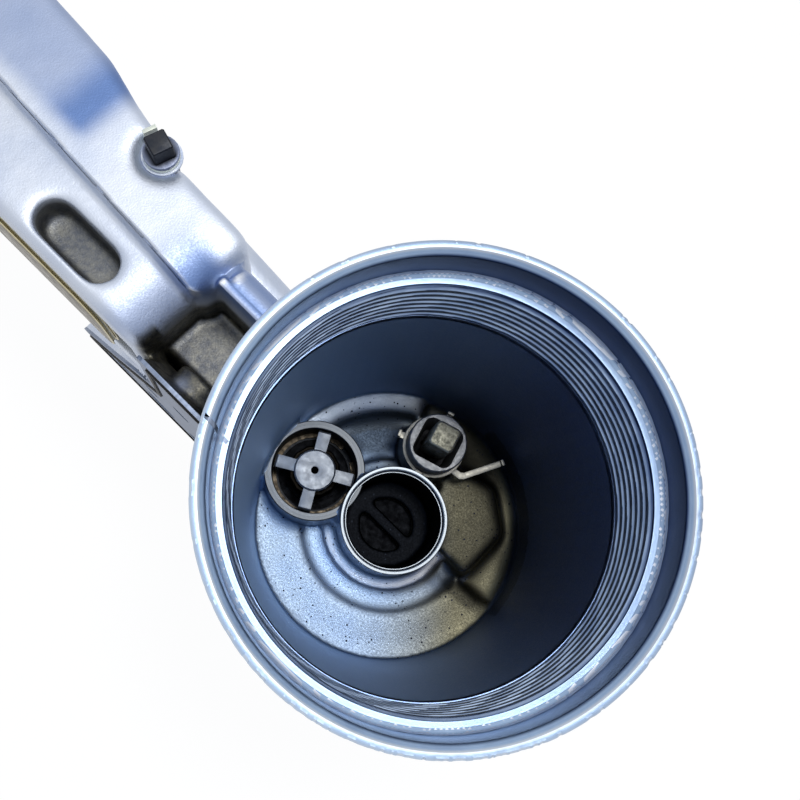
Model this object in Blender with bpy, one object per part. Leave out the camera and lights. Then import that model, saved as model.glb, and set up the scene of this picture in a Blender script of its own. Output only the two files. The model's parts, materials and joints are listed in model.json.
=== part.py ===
"""Oil filter base of a truck engine: a cast aluminium bowl on an arm with a flange for the engine block.

Metres, +Z up along the bowl's axis. The origin is the middle of the block flange's machined face,
whose outward normal is -Y. Everything is parented to an empty on the bowl's axis at the rim plane,
so the sizes below count from that axis (x, y) and down from the rim (depths, as positive numbers).
"""

import math

import bmesh
import bpy
from mathutils import Matrix, Vector

for old in list(bpy.data.objects):
    bpy.data.objects.remove(old, do_unlink=True)

# Place of the bowl's axis and rim, seen from the flange's middle
BOWL_X = 0.095
FLANGE_OFFSET = 0.036
RIM_Z = 0.125

# Clearances
SEAT_GAP = 0.0003
RUN_GAP = 0.0005

# Bowl
RIM_RADIUS = 0.075
RIM_CHAMFER = 0.001
LIP_HEIGHT = 0.014
LIP_STEP = 0.003
LAND_WIDTH = 0.0025
MOUTH_CHAMFER = 0.002
SEAL_BORE_DEPTH = 0.0194
THREAD_RADIUS = 0.0668
THREAD_END = 0.0548
THREAD_RING = 0.0012
INNER_TOP_RADIUS = 0.0657
INNER_FOOT_RADIUS = 0.0626
FOOT_FILLET = 0.005
WALL = 0.0049
FLOOR_DEPTH = 0.192
FLOOR_STEP = 0.005
FLOOR_WALL = 0.009
OUTER_CORNER = 0.013

# Floor relief, radii about the bowl's axis
RECESS_OUTER = 0.041
RECESS_INNER = 0.031
CRESCENT_FROM = -158
CRESCENT_TO = 6
SHELF_INNER = 0.053
SHELF_RISE = 0.004
SHELF_FROM = 116
SHELF_TO = 176
PAD_RISE = 0.006

# Centre tube
TUBE_RADIUS = 0.024
TUBE_BORE = 0.0216
TUBE_TOP = 0.162
TUBE_FOOT_FLARE = 0.0010
TUBE_FLOOR = 0.199
OUTLET_RADIUS = 0.0127
OUTLET_SEAT = 0.205
BRIDGE_WIDTH = 0.0055

# Outlet valve under the centre tube, with the plug that closes its chamber from below
CHAMBER_RADIUS = 0.0175
CHAMBER_MOUTH = 0.234
OUTLET_DISC_RADIUS = 0.0152
OUTLET_DISC_THICK = 0.0016
OUTLET_TRAVEL = 0.004
PLUG_THICK = 0.006
PLUG_SOCKET = 0.006
CHAMBER_WALL = 0.005

# Inlet valve
INLET_X = -0.041
INLET_Y = -0.009
INLET_TOP = 0.166
INLET_BORE = 0.0192
INLET_BOSS = 0.0226
INLET_LEDGE = 0.190
INLET_PORT = 0.0098
SEAT_RING_THICK = 0.003
INLET_DISC_RADIUS = 0.0128
INLET_DISC_THICK = 0.0016
INLET_TRAVEL = 0.005
CAGE_HUB_RADIUS = 0.0086
CAGE_HUB_HOLE = 0.0016
CAGE_HUB_RISE = 0.001
CAGE_ARM_WIDTH = 0.005
CAGE_LEG_RADIUS = 0.0163
CAGE_SHEET = 0.001
CAGE_TURN = 30
CIRCLIP_WIRE = 0.0016
CIRCLIP_DEPTH = 0.0007

# Drain valve
DRAIN_X = -0.0103
DRAIN_Y = 0.0383
DRAIN_TOP = 0.158
COLLAR_RADIUS = 0.0134
COLLAR_HEIGHT = 0.013
SLEEVE_RADIUS = 0.0102
SLEEVE_FOOT = 0.201
SOCKET_HALF = 0.0072
SOCKET_DEPTH = 0.019
PLUNGER_HALF = 0.0052
PLUNGER_PROUD = 0.004
PLUNGER_HEAD = 0.013
PLUNGER_STEM = 0.003
PLUNGER_FOOT = 0.0062
DRAIN_SEAL_THICK = 0.0015
DRAIN_TRAVEL = 0.003
DRAIN_TURN = 17
DRAIN_BOSS = 0.0145
DRAIN_WELL = 0.0087
CLIP_SHEET = 0.0012
CLIP_RADIUS = 0.0146
CLIP_TAB_WIDTH = 0.0030
CLIP_TAB_RISE = 0.0045
CLIP_TABS = ((107, 0.0175), (205, 0.0178), (283, 0.0149))
CLIP_ARM_WIDTH = 0.0028

# Springs
INLET_SPRING_WIRE = 0.0010
INLET_SPRING_RADIUS = 0.0108
OUTLET_SPRING_WIRE = 0.0008
OUTLET_SPRING_RADIUS = 0.0085
DRAIN_SPRING_WIRE = 0.0006
DRAIN_SPRING_RADIUS = 0.0048

# Arm, from its top deck down
ARM_END = -0.228
ARM_NEAR = -0.099
DECK_UPPER = 0.027
DECK_LOWER = 0.036
ARM_BOTTOM = 0.126
STEP_NEAR = -0.0098
STEP_FAR = -0.003
ARM_FRONT = -0.034
ARM_SOFT = 0.0045
SIDE_NEAR = 0.0165
SIDE_BULGE = 0.0222
SIDE_FAR = 0.0300
ARM_WALL = 0.006
HOLLOW_FRONT = 0.006
HOLLOW_TOP = 0.058
RIB_THICK = 0.0029
WEB_THICK = 0.0095
WEB_DROP = 0.004
RIB_BOTTOM = 0.090
DUCT_BLOCK_TOP = 0.065
DUCT_BLOCK_BACK = -0.025

# Oblong cored hole in the lower deck
SLOT_X = -0.1418
SLOT_Y = -0.023
SLOT_HALF = 0.007
SLOT_LENGTH = 0.034
SLOT_DEPTH = 0.014

# Block flange
FLANGE_THICK = 0.008
FLANGE_TOP = 0.035
FLANGE_FOOT = 0.216
FLANGE_CUT_TOP = 0.020
FLANGE_EDGE = 0.0012
FLANGE_RELIEF = 0.030
BOLT_HOLE = 0.0045
BOLT_BOSS = 0.009
BOLT_BOSS_RISE = 0.0025
SEAL_INSET = 0.0042
SEAL_WIDTH = 0.0026
SEAL_GROOVE = 0.0022
SEAL_PROUD = 0.0007

# Oil passages
PORT_RADIUS = 0.0092
PORT_WALL = 0.0045
PORT_DEPTH = 0.194
PASSAGE_DEPTH = 0.211
OUTLET_DEPTH = 0.216
INLET_PORT_X = -0.088
OUTLET_PORT_X = -0.116
DRAIN_PORT_X = -0.141
OUTLET_RUN_Y = 0.016
DRAIN_PASSAGE = 0.0062
PASSAGE_RISE_X = -0.074

# Plate cooler on the arm's engine side
COOLER_LEFT = -0.223
COOLER_RIGHT = -0.113
COOLER_TOP = 0.060
COOLER_FOOT = 0.112
COOLER_MARGIN = 0.003
COOLER_BACK = -0.0193
COOLER_BASE = 0.0025
COOLER_PLATES = 6
PLATE_PITCH = 0.0023
PLATE_LIP = 0.0008
PLATE_CORNER = 0.012
STACK_INSET_X = 0.013
COOLER_PORT = 0.0075
COOLER_SEAL = 0.0105
COOLER_SEAL_WIRE = 0.0013
COOLER_BOLT = 0.003
BOLT_HEAD_FLATS = 0.010
BOLT_HEAD_HEIGHT = 0.0055
BOLT_GRIP = 0.012
COOLER_BOLT_INSET = 0.0065

# Small screw plug on the deck's edge
SCREW_X = -0.1415
SCREW_Y = 0.0155
SCREW_TURN = -16
SCREW_HEAD = 0.0072
SCREW_HEAD_HEIGHT = 0.0075
SCREW_SHANK = 0.0045
SCREW_LENGTH = 0.014
SCREW_RECESS = 0.0088
SCREW_RECESS_DEPTH = 0.004
SCREW_COLLAR = 0.006
SCREW_COLLAR_HEIGHT = 0.0015
WASHER_RADIUS = 0.0068
WASHER_THICK = 0.001
TAB_SHEET = 0.0012
TAB_WIDTH = 0.0048
TAB_RISE = 0.006

ROUND = 64
TUBE_ROUND = 44
VALVE_ROUND = 36
SMALL_ROUND = 24
PIPE_ROUND = 16
WIRE_SIDES = 5
COIL_STEPS = 12


def material(name, colour, roughness, metallic):
    """A Principled material with one colour."""
    made = bpy.data.materials.new(name)
    made.use_nodes = True
    shader = made.node_tree.nodes["Principled BSDF"]
    shader.inputs["Base Color"].default_value = (*colour, 1)
    shader.inputs["Roughness"].default_value = roughness
    shader.inputs["Metallic"].default_value = metallic
    return made


# An empty on the bowl's axis at the rim plane carries every piece
bowl_axis = bpy.data.objects.new("bowl_axis", None)
bowl_axis.location = (BOWL_X, FLANGE_OFFSET, RIM_Z)
bpy.context.scene.collection.objects.link(bowl_axis)


def group(name):
    """A collection for the shapes that one Boolean reads."""
    made = bpy.data.collections.new(name)
    bpy.context.scene.collection.children.link(made)
    return made


def place(name, mesh, finish=None, parent=None, location=(0, 0, 0), into=None):
    """An object from a bmesh, with its faces turned outwards and round pieces shaded smooth."""
    bmesh.ops.recalc_face_normals(mesh, faces=mesh.faces[:])
    data = bpy.data.meshes.new(name)
    mesh.to_mesh(data)
    mesh.free()
    data.shade_smooth()
    data.set_sharp_from_angle(angle=math.radians(35))
    made = bpy.data.objects.new(name, data)
    made.parent = parent or bowl_axis
    made.location = location
    if finish:
        data.materials.append(finish)
    if into:
        into.objects.link(made)
        made.hide_render = True
        made.display_type = "WIRE"
    else:
        bpy.context.scene.collection.objects.link(made)
    return made


def soften(made, width, segments=2, angle=50):
    """Rounds the edges sharper than the angle."""
    bevel = made.modifiers.new("rounded_edges", "BEVEL")
    bevel.width = width
    bevel.segments = segments
    bevel.limit_method = "ANGLE"
    bevel.angle_limit = math.radians(angle)
    return made


def combine(made, operation, shapes):
    """A Boolean with every shape of a collection."""
    step = made.modifiers.new(shapes.name, "BOOLEAN")
    step.operation = operation
    step.operand_type = "COLLECTION"
    step.collection = shapes
    step.solver = "EXACT"


def turned(profile, steps=SMALL_ROUND, ring=False, phase=0.0):
    """A solid of revolution about Z from (radius, height) points; a ring closes its own outline."""
    mesh = bmesh.new()
    rows = []
    for radius, height in profile:
        if radius < 1e-7:
            rows.append([mesh.verts.new((0, 0, height))])
            continue
        angles = [2 * math.pi * (k + phase) / steps for k in range(steps)]
        rows.append([mesh.verts.new((radius * math.cos(a), radius * math.sin(a), height)) for a in angles])
    pairs = list(zip(rows, rows[1:]))
    if ring:
        pairs.append((rows[-1], rows[0]))
    for one, two in pairs:
        for k in range(steps):
            n = (k + 1) % steps
            loop = [one[k % len(one)], one[n % len(one)], two[n % len(two)], two[k % len(two)]]
            corners = list(dict.fromkeys(loop))
            if len(corners) > 2:
                mesh.faces.new(corners)
    return mesh


def arc(x, y, radius, start, end, steps):
    """Points on a circle, angles in degrees."""
    angles = [math.radians(start + (end - start) * k / steps) for k in range(steps + 1)]
    return [(x + radius * math.cos(a), y + radius * math.sin(a)) for a in angles]


def rounded(corners, steps=4):
    """An outline from (x, y, radius) corners, each turned into an arc tangent to its two edges."""
    points = []
    count = len(corners)
    for k, (x, y, radius) in enumerate(corners):
        here = Vector((x, y))
        back = (Vector(corners[k - 1][:2]) - here).normalized()
        ahead = (Vector(corners[(k + 1) % count][:2]) - here).normalized()
        if radius <= 0:
            points.append((x, y))
            continue
        half = back.angle(ahead) / 2
        reach = radius / math.tan(half)
        middle = here + (back + ahead).normalized() * radius / math.sin(half)
        start = here + back * reach - middle
        turn = start.angle_signed(here + ahead * reach - middle)
        for n in range(steps + 1):
            spoke = start.copy()
            spoke.rotate(Matrix.Rotation(-turn * n / steps, 2))
            points.append(tuple(middle + spoke))
    return points


def inset(corners, distance):
    """The same corners moved inwards by a distance; the outline runs anticlockwise."""
    moved = []
    count = len(corners)
    for k, (x, y, radius) in enumerate(corners):
        here = Vector((x, y))
        one = (here - Vector(corners[k - 1][:2])).normalized()
        two = (Vector(corners[(k + 1) % count][:2]) - here).normalized()
        left_one = Vector((-one.y, one.x))
        left_two = Vector((-two.y, two.x))
        bisector = left_one + left_two
        shift = bisector * (distance / (1 + left_one.dot(left_two)))
        convex = one.x * two.y - one.y * two.x > 0
        new_radius = radius - distance if convex else radius + distance
        moved.append((x + shift.x, y + shift.y, max(new_radius, 0.0008)))
    return moved


def on_axis(point, level, axis):
    """A point of an outline, lifted to a level along Z, Y or X."""
    if axis == "Z":
        return (point[0], point[1], level)
    if axis == "Y":
        return (point[0], level, point[1])
    return (level, point[0], point[1])


def prism(outline, low, high, axis="Z"):
    """An outline extruded along Z, along Y (outline in x, z) or along X (outline in y, z)."""
    mesh = bmesh.new()
    ends = [[mesh.verts.new(on_axis(p, level, axis)) for p in outline] for level in (low, high)]
    mesh.faces.new(ends[0])
    mesh.faces.new(ends[1])
    for k in range(len(outline)):
        n = (k + 1) % len(outline)
        mesh.faces.new((ends[0][k], ends[0][n], ends[1][n], ends[1][k]))
    return mesh


def hollow_prism(outer, inner, low, high, axis="Z"):
    """The band between two outlines with as many points each, extruded."""
    mesh = bmesh.new()
    loops = []
    for outline, level in ((outer, low), (outer, high), (inner, high), (inner, low)):
        loops.append([mesh.verts.new(on_axis(p, level, axis)) for p in outline])
    for one, two in zip(loops, loops[1:] + loops[:1]):
        for k in range(len(outer)):
            n = (k + 1) % len(outer)
            mesh.faces.new((one[k], one[n], two[n], two[k]))
    return mesh


def box(low, high):
    """A block between two corners."""
    corners = [(low[0], low[1]), (high[0], low[1]), (high[0], high[1]), (low[0], high[1])]
    return prism(corners, low[2], high[2])


def pipe(route, radius, steps=PIPE_ROUND):
    """A round rod along a route, mitred at its corners, with flat ends."""
    points = [Vector(p) for p in route]
    ways = [(b - a).normalized() for a, b in zip(points, points[1:])]
    side = ways[0].orthogonal().normalized()
    other = ways[0].cross(side)
    angles = [2 * math.pi * k / steps for k in range(steps)]
    ring = [points[0] + (side * math.cos(a) + other * math.sin(a)) * radius for a in angles]
    mesh = bmesh.new()
    loops = [[mesh.verts.new(p) for p in ring]]
    for k, way in enumerate(ways):
        normal = way + (ways[k + 1] if k + 1 < len(ways) else way)
        ring = [p + way * ((points[k + 1] - p).dot(normal) / way.dot(normal)) for p in ring]
        loops.append([mesh.verts.new(p) for p in ring])
    for one, two in zip(loops, loops[1:]):
        for k in range(steps):
            n = (k + 1) % steps
            mesh.faces.new((one[k], one[n], two[n], two[k]))
    mesh.faces.new(loops[0])
    mesh.faces.new(loops[-1])
    return mesh


def coil(radius, wire, low, high, turns):
    """A round wire along a helix whose end turns close up, from the lowest to the highest point."""
    steps = int(turns * COIL_STEPS)
    mesh = bmesh.new()
    rings = []
    closed = 1.0 / turns
    for k in range(steps + 1):
        share = k / steps
        angle = 2 * math.pi * turns * share
        # The end turns rise by one wire only, the turns between them share the rest
        lead = 2 * wire * min(share / closed, 1)
        tail = 2 * wire * max((share - 1 + closed) / closed, 0)
        free = (high - low - 6 * wire) * min(max((share - closed) / (1 - 2 * closed), 0), 1)
        height = low + wire + lead + free + tail
        ring = []
        for n in range(WIRE_SIDES):
            around = 2 * math.pi * n / WIRE_SIDES
            r = radius + wire * math.cos(around)
            ring.append(mesh.verts.new((r * math.cos(angle), r * math.sin(angle), height + wire * math.sin(around))))
        rings.append(ring)
    for one, two in zip(rings, rings[1:]):
        for n in range(WIRE_SIDES):
            m = (n + 1) % WIRE_SIDES
            mesh.faces.new((one[n], one[m], two[m], two[n]))
    mesh.faces.new(rings[0])
    mesh.faces.new(rings[-1])
    return mesh


def spin_z(mesh, degrees, x=0, y=0):
    """Turns a mesh about Z and moves it to (x, y)."""
    turn = Matrix.Translation((x, y, 0)) @ Matrix.Rotation(math.radians(degrees), 4, "Z")
    bmesh.ops.transform(mesh, matrix=turn, verts=mesh.verts[:])
    return mesh


def ring_sector(inner, outer, start, end, steps):
    """The outline of part of a ring about the bowl's axis."""
    return arc(0, 0, outer, start, end, steps) + arc(0, 0, inner, end, start, steps)


# Sizes that follow from the ones above
SEAL_BORE = RIM_RADIUS - LAND_WIDTH - MOUTH_CHAMFER
DEEP_FLOOR = FLOOR_DEPTH + FLOOR_STEP
BOWL_FOOT = DEEP_FLOOR + FLOOR_WALL
FOOT_OUTER = INNER_FOOT_RADIUS + WALL
FLANGE_BACK = -FLANGE_OFFSET + FLANGE_THICK
PLUG_TOP = CHAMBER_MOUTH - PLUG_THICK
OUTLET_DISC_TOP = OUTLET_SEAT + SEAT_GAP
SEAT_RING_TOP = INLET_LEDGE - SEAT_GAP - SEAT_RING_THICK
INLET_DISC_FOOT = SEAT_RING_TOP - SEAT_GAP
CAGE_FOOT = SEAT_RING_TOP - SEAT_GAP
CAGE_TOP = INLET_TOP + 0.001
COLLAR_FOOT = DRAIN_TOP + COLLAR_HEIGHT
CLIP_TOP = COLLAR_FOOT + SEAT_GAP
DRAIN_BOSS_TOP = CLIP_TOP + CLIP_SHEET + SEAT_GAP
SOCKET_FLOOR = DRAIN_TOP + SOCKET_DEPTH
PLUNGER_TOP = DRAIN_TOP - PLUNGER_PROUD
PLUNGER_NECK = PLUNGER_TOP + PLUNGER_HEAD
WELL_FOOT = PASSAGE_DEPTH + 0.9 * PORT_RADIUS
COOLER_FRONT = COOLER_BACK - COOLER_BASE - COOLER_PLATES * PLATE_PITCH

# The flange's outline in (x, z) with the radius of each corner
FLANGE_CORNERS = [
    (-0.0565, -FLANGE_FOOT, 0.002),
    (-0.0615, -FLANGE_TOP, 0.002),
    (-0.1000, -FLANGE_TOP, 0.003),
    (-0.1060, -0.1040, 0.004),
    (-0.1410, -0.1610, 0.010),
    (-0.1800, -FLANGE_FOOT, 0.008),
]
BOLT_HOLES = [(-0.0815, -0.0500), (-0.0900, -0.1080), (-0.1150, -0.1540), (-0.1540, -0.2015), (-0.0745, -0.1580)]

cast_aluminium = material("cast_aluminium", (0.62, 0.66, 0.72), 0.45, 1.0)
zinc_steel = material("zinc_steel", (0.55, 0.56, 0.58), 0.35, 1.0)
spring_steel = material("spring_steel", (0.16, 0.15, 0.14), 0.4, 1.0)
black_steel = material("black_steel", (0.07, 0.08, 0.12), 0.5, 0.6)
stainless = material("stainless", (0.60, 0.57, 0.50), 0.3, 1.0)
rubber = material("rubber", (0.04, 0.03, 0.02), 0.8, 0.0)
pale_tab = material("pale_tab", (0.65, 0.70, 0.62), 0.5, 0.0)


def bowl_outside():
    """Lip, tapered wall, rounded foot."""
    lip = RIM_RADIUS - LIP_STEP
    points = [(0, 0), (RIM_RADIUS - RIM_CHAMFER, 0), (RIM_RADIUS, -RIM_CHAMFER), (RIM_RADIUS, -LIP_HEIGHT)]
    points.append((lip, -LIP_HEIGHT - LIP_STEP))
    corner = [(FOOT_OUTER - OUTER_CORNER, BOWL_FOOT - OUTER_CORNER)]
    for x, depth in arc(*corner[0], OUTER_CORNER, 0, 90, 4):
        points.append((x, -depth))
    points.append((0, -BOWL_FOOT))
    return turned(points, ROUND)


def bowl_inside():
    """Mouth chamfer, seal bore, thread, drafted wall and the fillet to the floor."""
    over = 0.002
    points = [
        (0, over),
        (SEAL_BORE + MOUTH_CHAMFER + over, over),
        (SEAL_BORE, -MOUTH_CHAMFER),
        (SEAL_BORE, -SEAL_BORE_DEPTH),
        (THREAD_RADIUS, -SEAL_BORE_DEPTH),
        (THREAD_RADIUS, -THREAD_END),
        (INNER_TOP_RADIUS, -THREAD_END),
        (INNER_TOP_RADIUS - 0.0002, -THREAD_END - THREAD_RING),
    ]
    middle = (INNER_FOOT_RADIUS - FOOT_FILLET, DEEP_FLOOR - FOOT_FILLET)
    points += [(x, -depth) for x, depth in arc(*middle, FOOT_FILLET, 0, 90, 3)]
    points.append((0, -DEEP_FLOOR))
    return turned(points, ROUND, phase=0.5)


def arm_outline():
    """The upper deck, from the step round its near end and back along the outer side."""
    return rounded([
        (ARM_END, STEP_FAR, 0.006),
        (ARM_NEAR, STEP_NEAR, 0.0058),
        (ARM_NEAR, SIDE_NEAR, 0.0062),
        (-0.131, SIDE_NEAR + 0.0004, 0.050),
        (-0.160, SIDE_BULGE, 0.050),
        (-0.178, SIDE_FAR - 0.003, 0.030),
        (ARM_END, SIDE_FAR, 0.012),
    ], 4)


def housing():
    """The casting: bowl, arm, flange, ducts and floor bosses, in one piece."""
    body = place("housing", bowl_outside(), cast_aluminium)

    outside = group("housing_outside")
    deck = place("upper_deck", prism(arm_outline(), -ARM_BOTTOM, -DECK_UPPER), into=outside)
    soften(deck, ARM_SOFT, 3)
    low_corners = [
        (ARM_END + 0.001, ARM_FRONT, 0.005),
        (ARM_NEAR - 0.0035, ARM_FRONT, 0.006),
        (ARM_NEAR - 0.0035, 0.009, 0.004),
        (ARM_END + 0.001, 0.009, 0.004),
    ]
    low = place("lower_deck", prism(rounded(low_corners, 3), -ARM_BOTTOM + 0.001, -DECK_LOWER), into=outside)
    soften(low, 0.003, 3)
    reach = -RIM_RADIUS + LIP_STEP + 0.004
    rib_front = -RIB_THICK / 2
    rib = box((ARM_NEAR + 0.001, rib_front, -RIB_BOTTOM), (reach, -rib_front, -DECK_UPPER - 0.0004))
    soften(place("rib", rib, into=outside), 0.0008, 2)
    web_top = -DECK_UPPER - WEB_DROP
    web = box((ARM_NEAR + 0.001, rib_front + 0.001, -RIB_BOTTOM - 0.002), (reach, WEB_THICK, web_top))
    soften(place("web", web, into=outside), 0.003, 2)
    block = box((ARM_NEAR - 0.004, DUCT_BLOCK_BACK, -ARM_BOTTOM + 0.003), (reach + 0.002, 0.0004, -DUCT_BLOCK_TOP))
    soften(place("duct_block", block, into=outside), 0.002, 2)

    plate = prism(rounded(FLANGE_CORNERS), -FLANGE_OFFSET - 0.001, FLANGE_BACK, "Y")
    plate = place("flange_plate", plate, into=outside)
    thinned = group("flange_thinned")
    relief = [
        (-FLANGE_OFFSET + FLANGE_EDGE, -FLANGE_TOP + 0.001),
        (FLANGE_BACK + 0.0005, -FLANGE_TOP + 0.001),
        (FLANGE_BACK + 0.0005, -FLANGE_TOP - FLANGE_RELIEF),
        (FLANGE_BACK, -FLANGE_TOP - FLANGE_RELIEF),
    ]
    place("flange_relief", prism(relief, -0.115, -0.050, "X"), into=thinned)
    combine(plate, "DIFFERENCE", thinned)
    for x, z in BOLT_HOLES:
        boss = prism(arc(x, z, BOLT_BOSS, 0, 337.5, 15), -FLANGE_OFFSET + 0.002, FLANGE_BACK + BOLT_BOSS_RISE, "Y")
        place("bolt_boss", boss, into=outside)
    for x in (-0.075, -0.135):
        gusset = [
            (FLANGE_BACK - 0.004, -ARM_BOTTOM + 0.004),
            (FLANGE_BACK - 0.004, -PORT_DEPTH),
            (-0.010, -PORT_DEPTH - 0.004),
            (-0.018, -0.160),
            (0.004, -ARM_BOTTOM + 0.004),
        ]
        place("gusset", prism(gusset, x - 0.003, x + 0.003, "X"), into=outside)

    chamber = turned([(0, -BOWL_FOOT + 0.004), (CHAMBER_RADIUS + CHAMBER_WALL + 0.003, -BOWL_FOOT + 0.004),
                      (CHAMBER_RADIUS + CHAMBER_WALL, -CHAMBER_MOUTH), (0, -CHAMBER_MOUTH)])
    place("chamber_boss", chamber, into=outside)
    for name, route, radius in passages():
        place(f"{name}_duct", pipe(route, radius + PORT_WALL), into=outside)
    for name, x, y, radius in wells():
        sump = turned([(0, -BOWL_FOOT + 0.006), (radius + PORT_WALL + 0.001, -BOWL_FOOT + 0.006),
                       (radius + PORT_WALL, -PASSAGE_DEPTH - PORT_RADIUS - PORT_WALL + 0.0005),
                       (0, -PASSAGE_DEPTH - PORT_RADIUS - PORT_WALL + 0.0005)])
        place(f"{name}_sump", sump, location=(x, y, 0), into=outside)

    trims = group("housing_trims")
    past_face = box((ARM_END - 0.01, -0.080, -0.250), (-0.0560, -FLANGE_OFFSET, -FLANGE_TOP + 0.001))
    place("face_cut", past_face, into=trims)
    place("bowl_inside", bowl_inside(), into=trims)
    recess = box((ARM_END - 0.01, -0.070, -COOLER_FOOT - COOLER_MARGIN),
                 (COOLER_RIGHT + COOLER_MARGIN, COOLER_BACK + SEAT_GAP, -COOLER_TOP + COOLER_MARGIN))
    place("cooler_recess", recess, into=trims)
    for k, (left, right, far, near) in enumerate(hollow_sides()):
        hollow = rounded([(left, HOLLOW_FRONT, 0.0025), (right, HOLLOW_FRONT, 0.0025),
                          (right, near, 0.0025), (left, far, 0.0025)], 3)
        place("arm_hollow", prism(hollow, -ARM_BOTTOM - 0.002, -HOLLOW_TOP - 0.002 * k), into=trims)

    inside = group("housing_inside")
    place("crescent", prism(ring_sector(RECESS_OUTER, INNER_FOOT_RADIUS + 0.002, CRESCENT_FROM, CRESCENT_TO, 18),
                            -DEEP_FLOOR - 0.001, -FLOOR_DEPTH), into=inside)
    place("ledge", prism(arc(0, 0, RECESS_INNER, 3, 350.6, 28), -DEEP_FLOOR - 0.001, -FLOOR_DEPTH), into=inside)
    shelf = ring_sector(SHELF_INNER, INNER_FOOT_RADIUS + 0.002, SHELF_FROM, SHELF_TO, 7)
    soften(place("shelf", prism(shelf, -DEEP_FLOOR - 0.001, -FLOOR_DEPTH + SHELF_RISE), into=inside), 0.0025)
    pad_corners = [
        (0.0100, 0.0090, 0.003),
        (0.0436, 0.0063, 0.003),
        (0.0436, 0.0350, 0.004),
        (0.0250, 0.0485, 0.004),
        (0.0020, 0.0420, 0.003),
    ]
    pad = prism(rounded(pad_corners, 3), -DEEP_FLOOR - 0.001, -FLOOR_DEPTH + PAD_RISE)
    soften(place("pad", pad, into=inside), 0.0015)
    tube = [(0, -DEEP_FLOOR - 0.001), (TUBE_RADIUS + TUBE_FOOT_FLARE, -DEEP_FLOOR - 0.001),
            (TUBE_RADIUS + TUBE_FOOT_FLARE, -FLOOR_DEPTH - 0.0007), (TUBE_RADIUS, -TUBE_TOP), (0, -TUBE_TOP)]
    place("centre_tube", turned(tube, TUBE_ROUND), into=inside)
    boss = turned([(0, -DEEP_FLOOR - 0.001), (INLET_BOSS + 0.001, -DEEP_FLOOR - 0.001),
                   (INLET_BOSS, -INLET_TOP), (0, -INLET_TOP)], VALVE_ROUND)
    place("inlet_boss", boss, location=(INLET_X, INLET_Y, 0), into=inside)
    bridge = box((INLET_X, INLET_Y - 0.010, -DEEP_FLOOR), (-0.010, INLET_Y + 0.006, -INLET_TOP - 0.003))
    place("boss_link", bridge, into=inside)
    drain = turned([(0, -DEEP_FLOOR - 0.001), (DRAIN_BOSS + 0.001, -DEEP_FLOOR - 0.001),
                    (DRAIN_BOSS, -DRAIN_BOSS_TOP), (0, -DRAIN_BOSS_TOP)])
    place("drain_boss", drain, location=(DRAIN_X, DRAIN_Y, 0), into=inside)

    bores = group("housing_bores")
    tube_bore = [(0, -TUBE_TOP + 0.001), (TUBE_BORE + 0.0008, -TUBE_TOP + 0.001),
                 (TUBE_BORE + 0.0008, -TUBE_TOP - 0.0015), (TUBE_BORE, -TUBE_TOP - 0.0023),
                 (TUBE_BORE - 0.0006, -TUBE_FLOOR), (0, -TUBE_FLOOR)]
    place("tube_bore", turned(tube_bore, TUBE_ROUND), into=bores)
    half = BRIDGE_WIDTH / 2
    edge = math.degrees(math.asin(half / OUTLET_RADIUS))
    for side in (0, 180):
        crescent = arc(0, 0, OUTLET_RADIUS, side + edge, side + 180 - edge, 14)
        place("outlet_window", prism(crescent, -OUTLET_SEAT - 0.001, -TUBE_FLOOR + 0.001), into=bores)
    well = turned([(0, -OUTLET_SEAT), (CHAMBER_RADIUS, -OUTLET_SEAT), (CHAMBER_RADIUS, -CHAMBER_MOUTH - 0.001),
                   (0, -CHAMBER_MOUTH - 0.001)])
    place("outlet_chamber", well, into=bores)
    groove = INLET_BORE + CIRCLIP_DEPTH
    clip_z = CAGE_FOOT - CAGE_SHEET - SEAT_GAP
    inlet = turned([
        (0, -INLET_TOP + 0.001),
        (INLET_BORE, -INLET_TOP + 0.001),
        (INLET_BORE, -clip_z + CIRCLIP_WIRE + SEAT_GAP),
        (groove, -clip_z + CIRCLIP_WIRE + SEAT_GAP),
        (groove, -clip_z - 0.0001),
        (INLET_BORE, -clip_z - 0.0001),
        (INLET_BORE, -INLET_LEDGE),
        (INLET_PORT, -INLET_LEDGE),
        (INLET_PORT, -WELL_FOOT),
        (0, -WELL_FOOT),
    ], VALVE_ROUND)
    place("inlet_bore", inlet, location=(INLET_X, INLET_Y, 0), into=bores)
    drain_well = turned([
        (0, -DRAIN_BOSS_TOP + 0.001),
        (SLEEVE_RADIUS + SEAT_GAP, -DRAIN_BOSS_TOP + 0.001),
        (SLEEVE_RADIUS + SEAT_GAP, -SLEEVE_FOOT - SEAT_GAP),
        (DRAIN_WELL, -SLEEVE_FOOT - SEAT_GAP),
        (DRAIN_WELL, -WELL_FOOT),
        (0, -WELL_FOOT),
    ])
    place("drain_bore", drain_well, location=(DRAIN_X, DRAIN_Y, 0), into=bores)
    for name, route, radius in passages():
        place(f"{name}_passage", pipe(route, radius), into=bores)
    for x, z in BOLT_HOLES:
        hole = prism(arc(x, z, BOLT_HOLE, 0, 337.5, 15), -FLANGE_OFFSET - 0.001, FLANGE_BACK + 0.012, "Y")
        place("bolt_hole", hole, into=bores)
    place("seal_groove", seal_ring(0.0, SEAL_GROOVE + 0.0001, 0.001), into=bores)
    slot = rounded([
        (SLOT_X - SLOT_LENGTH / 2, SLOT_Y - SLOT_HALF, SLOT_HALF * 0.98),
        (SLOT_X + SLOT_LENGTH / 2, SLOT_Y - SLOT_HALF, SLOT_HALF * 0.98),
        (SLOT_X + SLOT_LENGTH / 2, SLOT_Y + SLOT_HALF, SLOT_HALF * 0.98),
        (SLOT_X - SLOT_LENGTH / 2, SLOT_Y + SLOT_HALF, SLOT_HALF * 0.98),
    ], 6)
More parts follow.
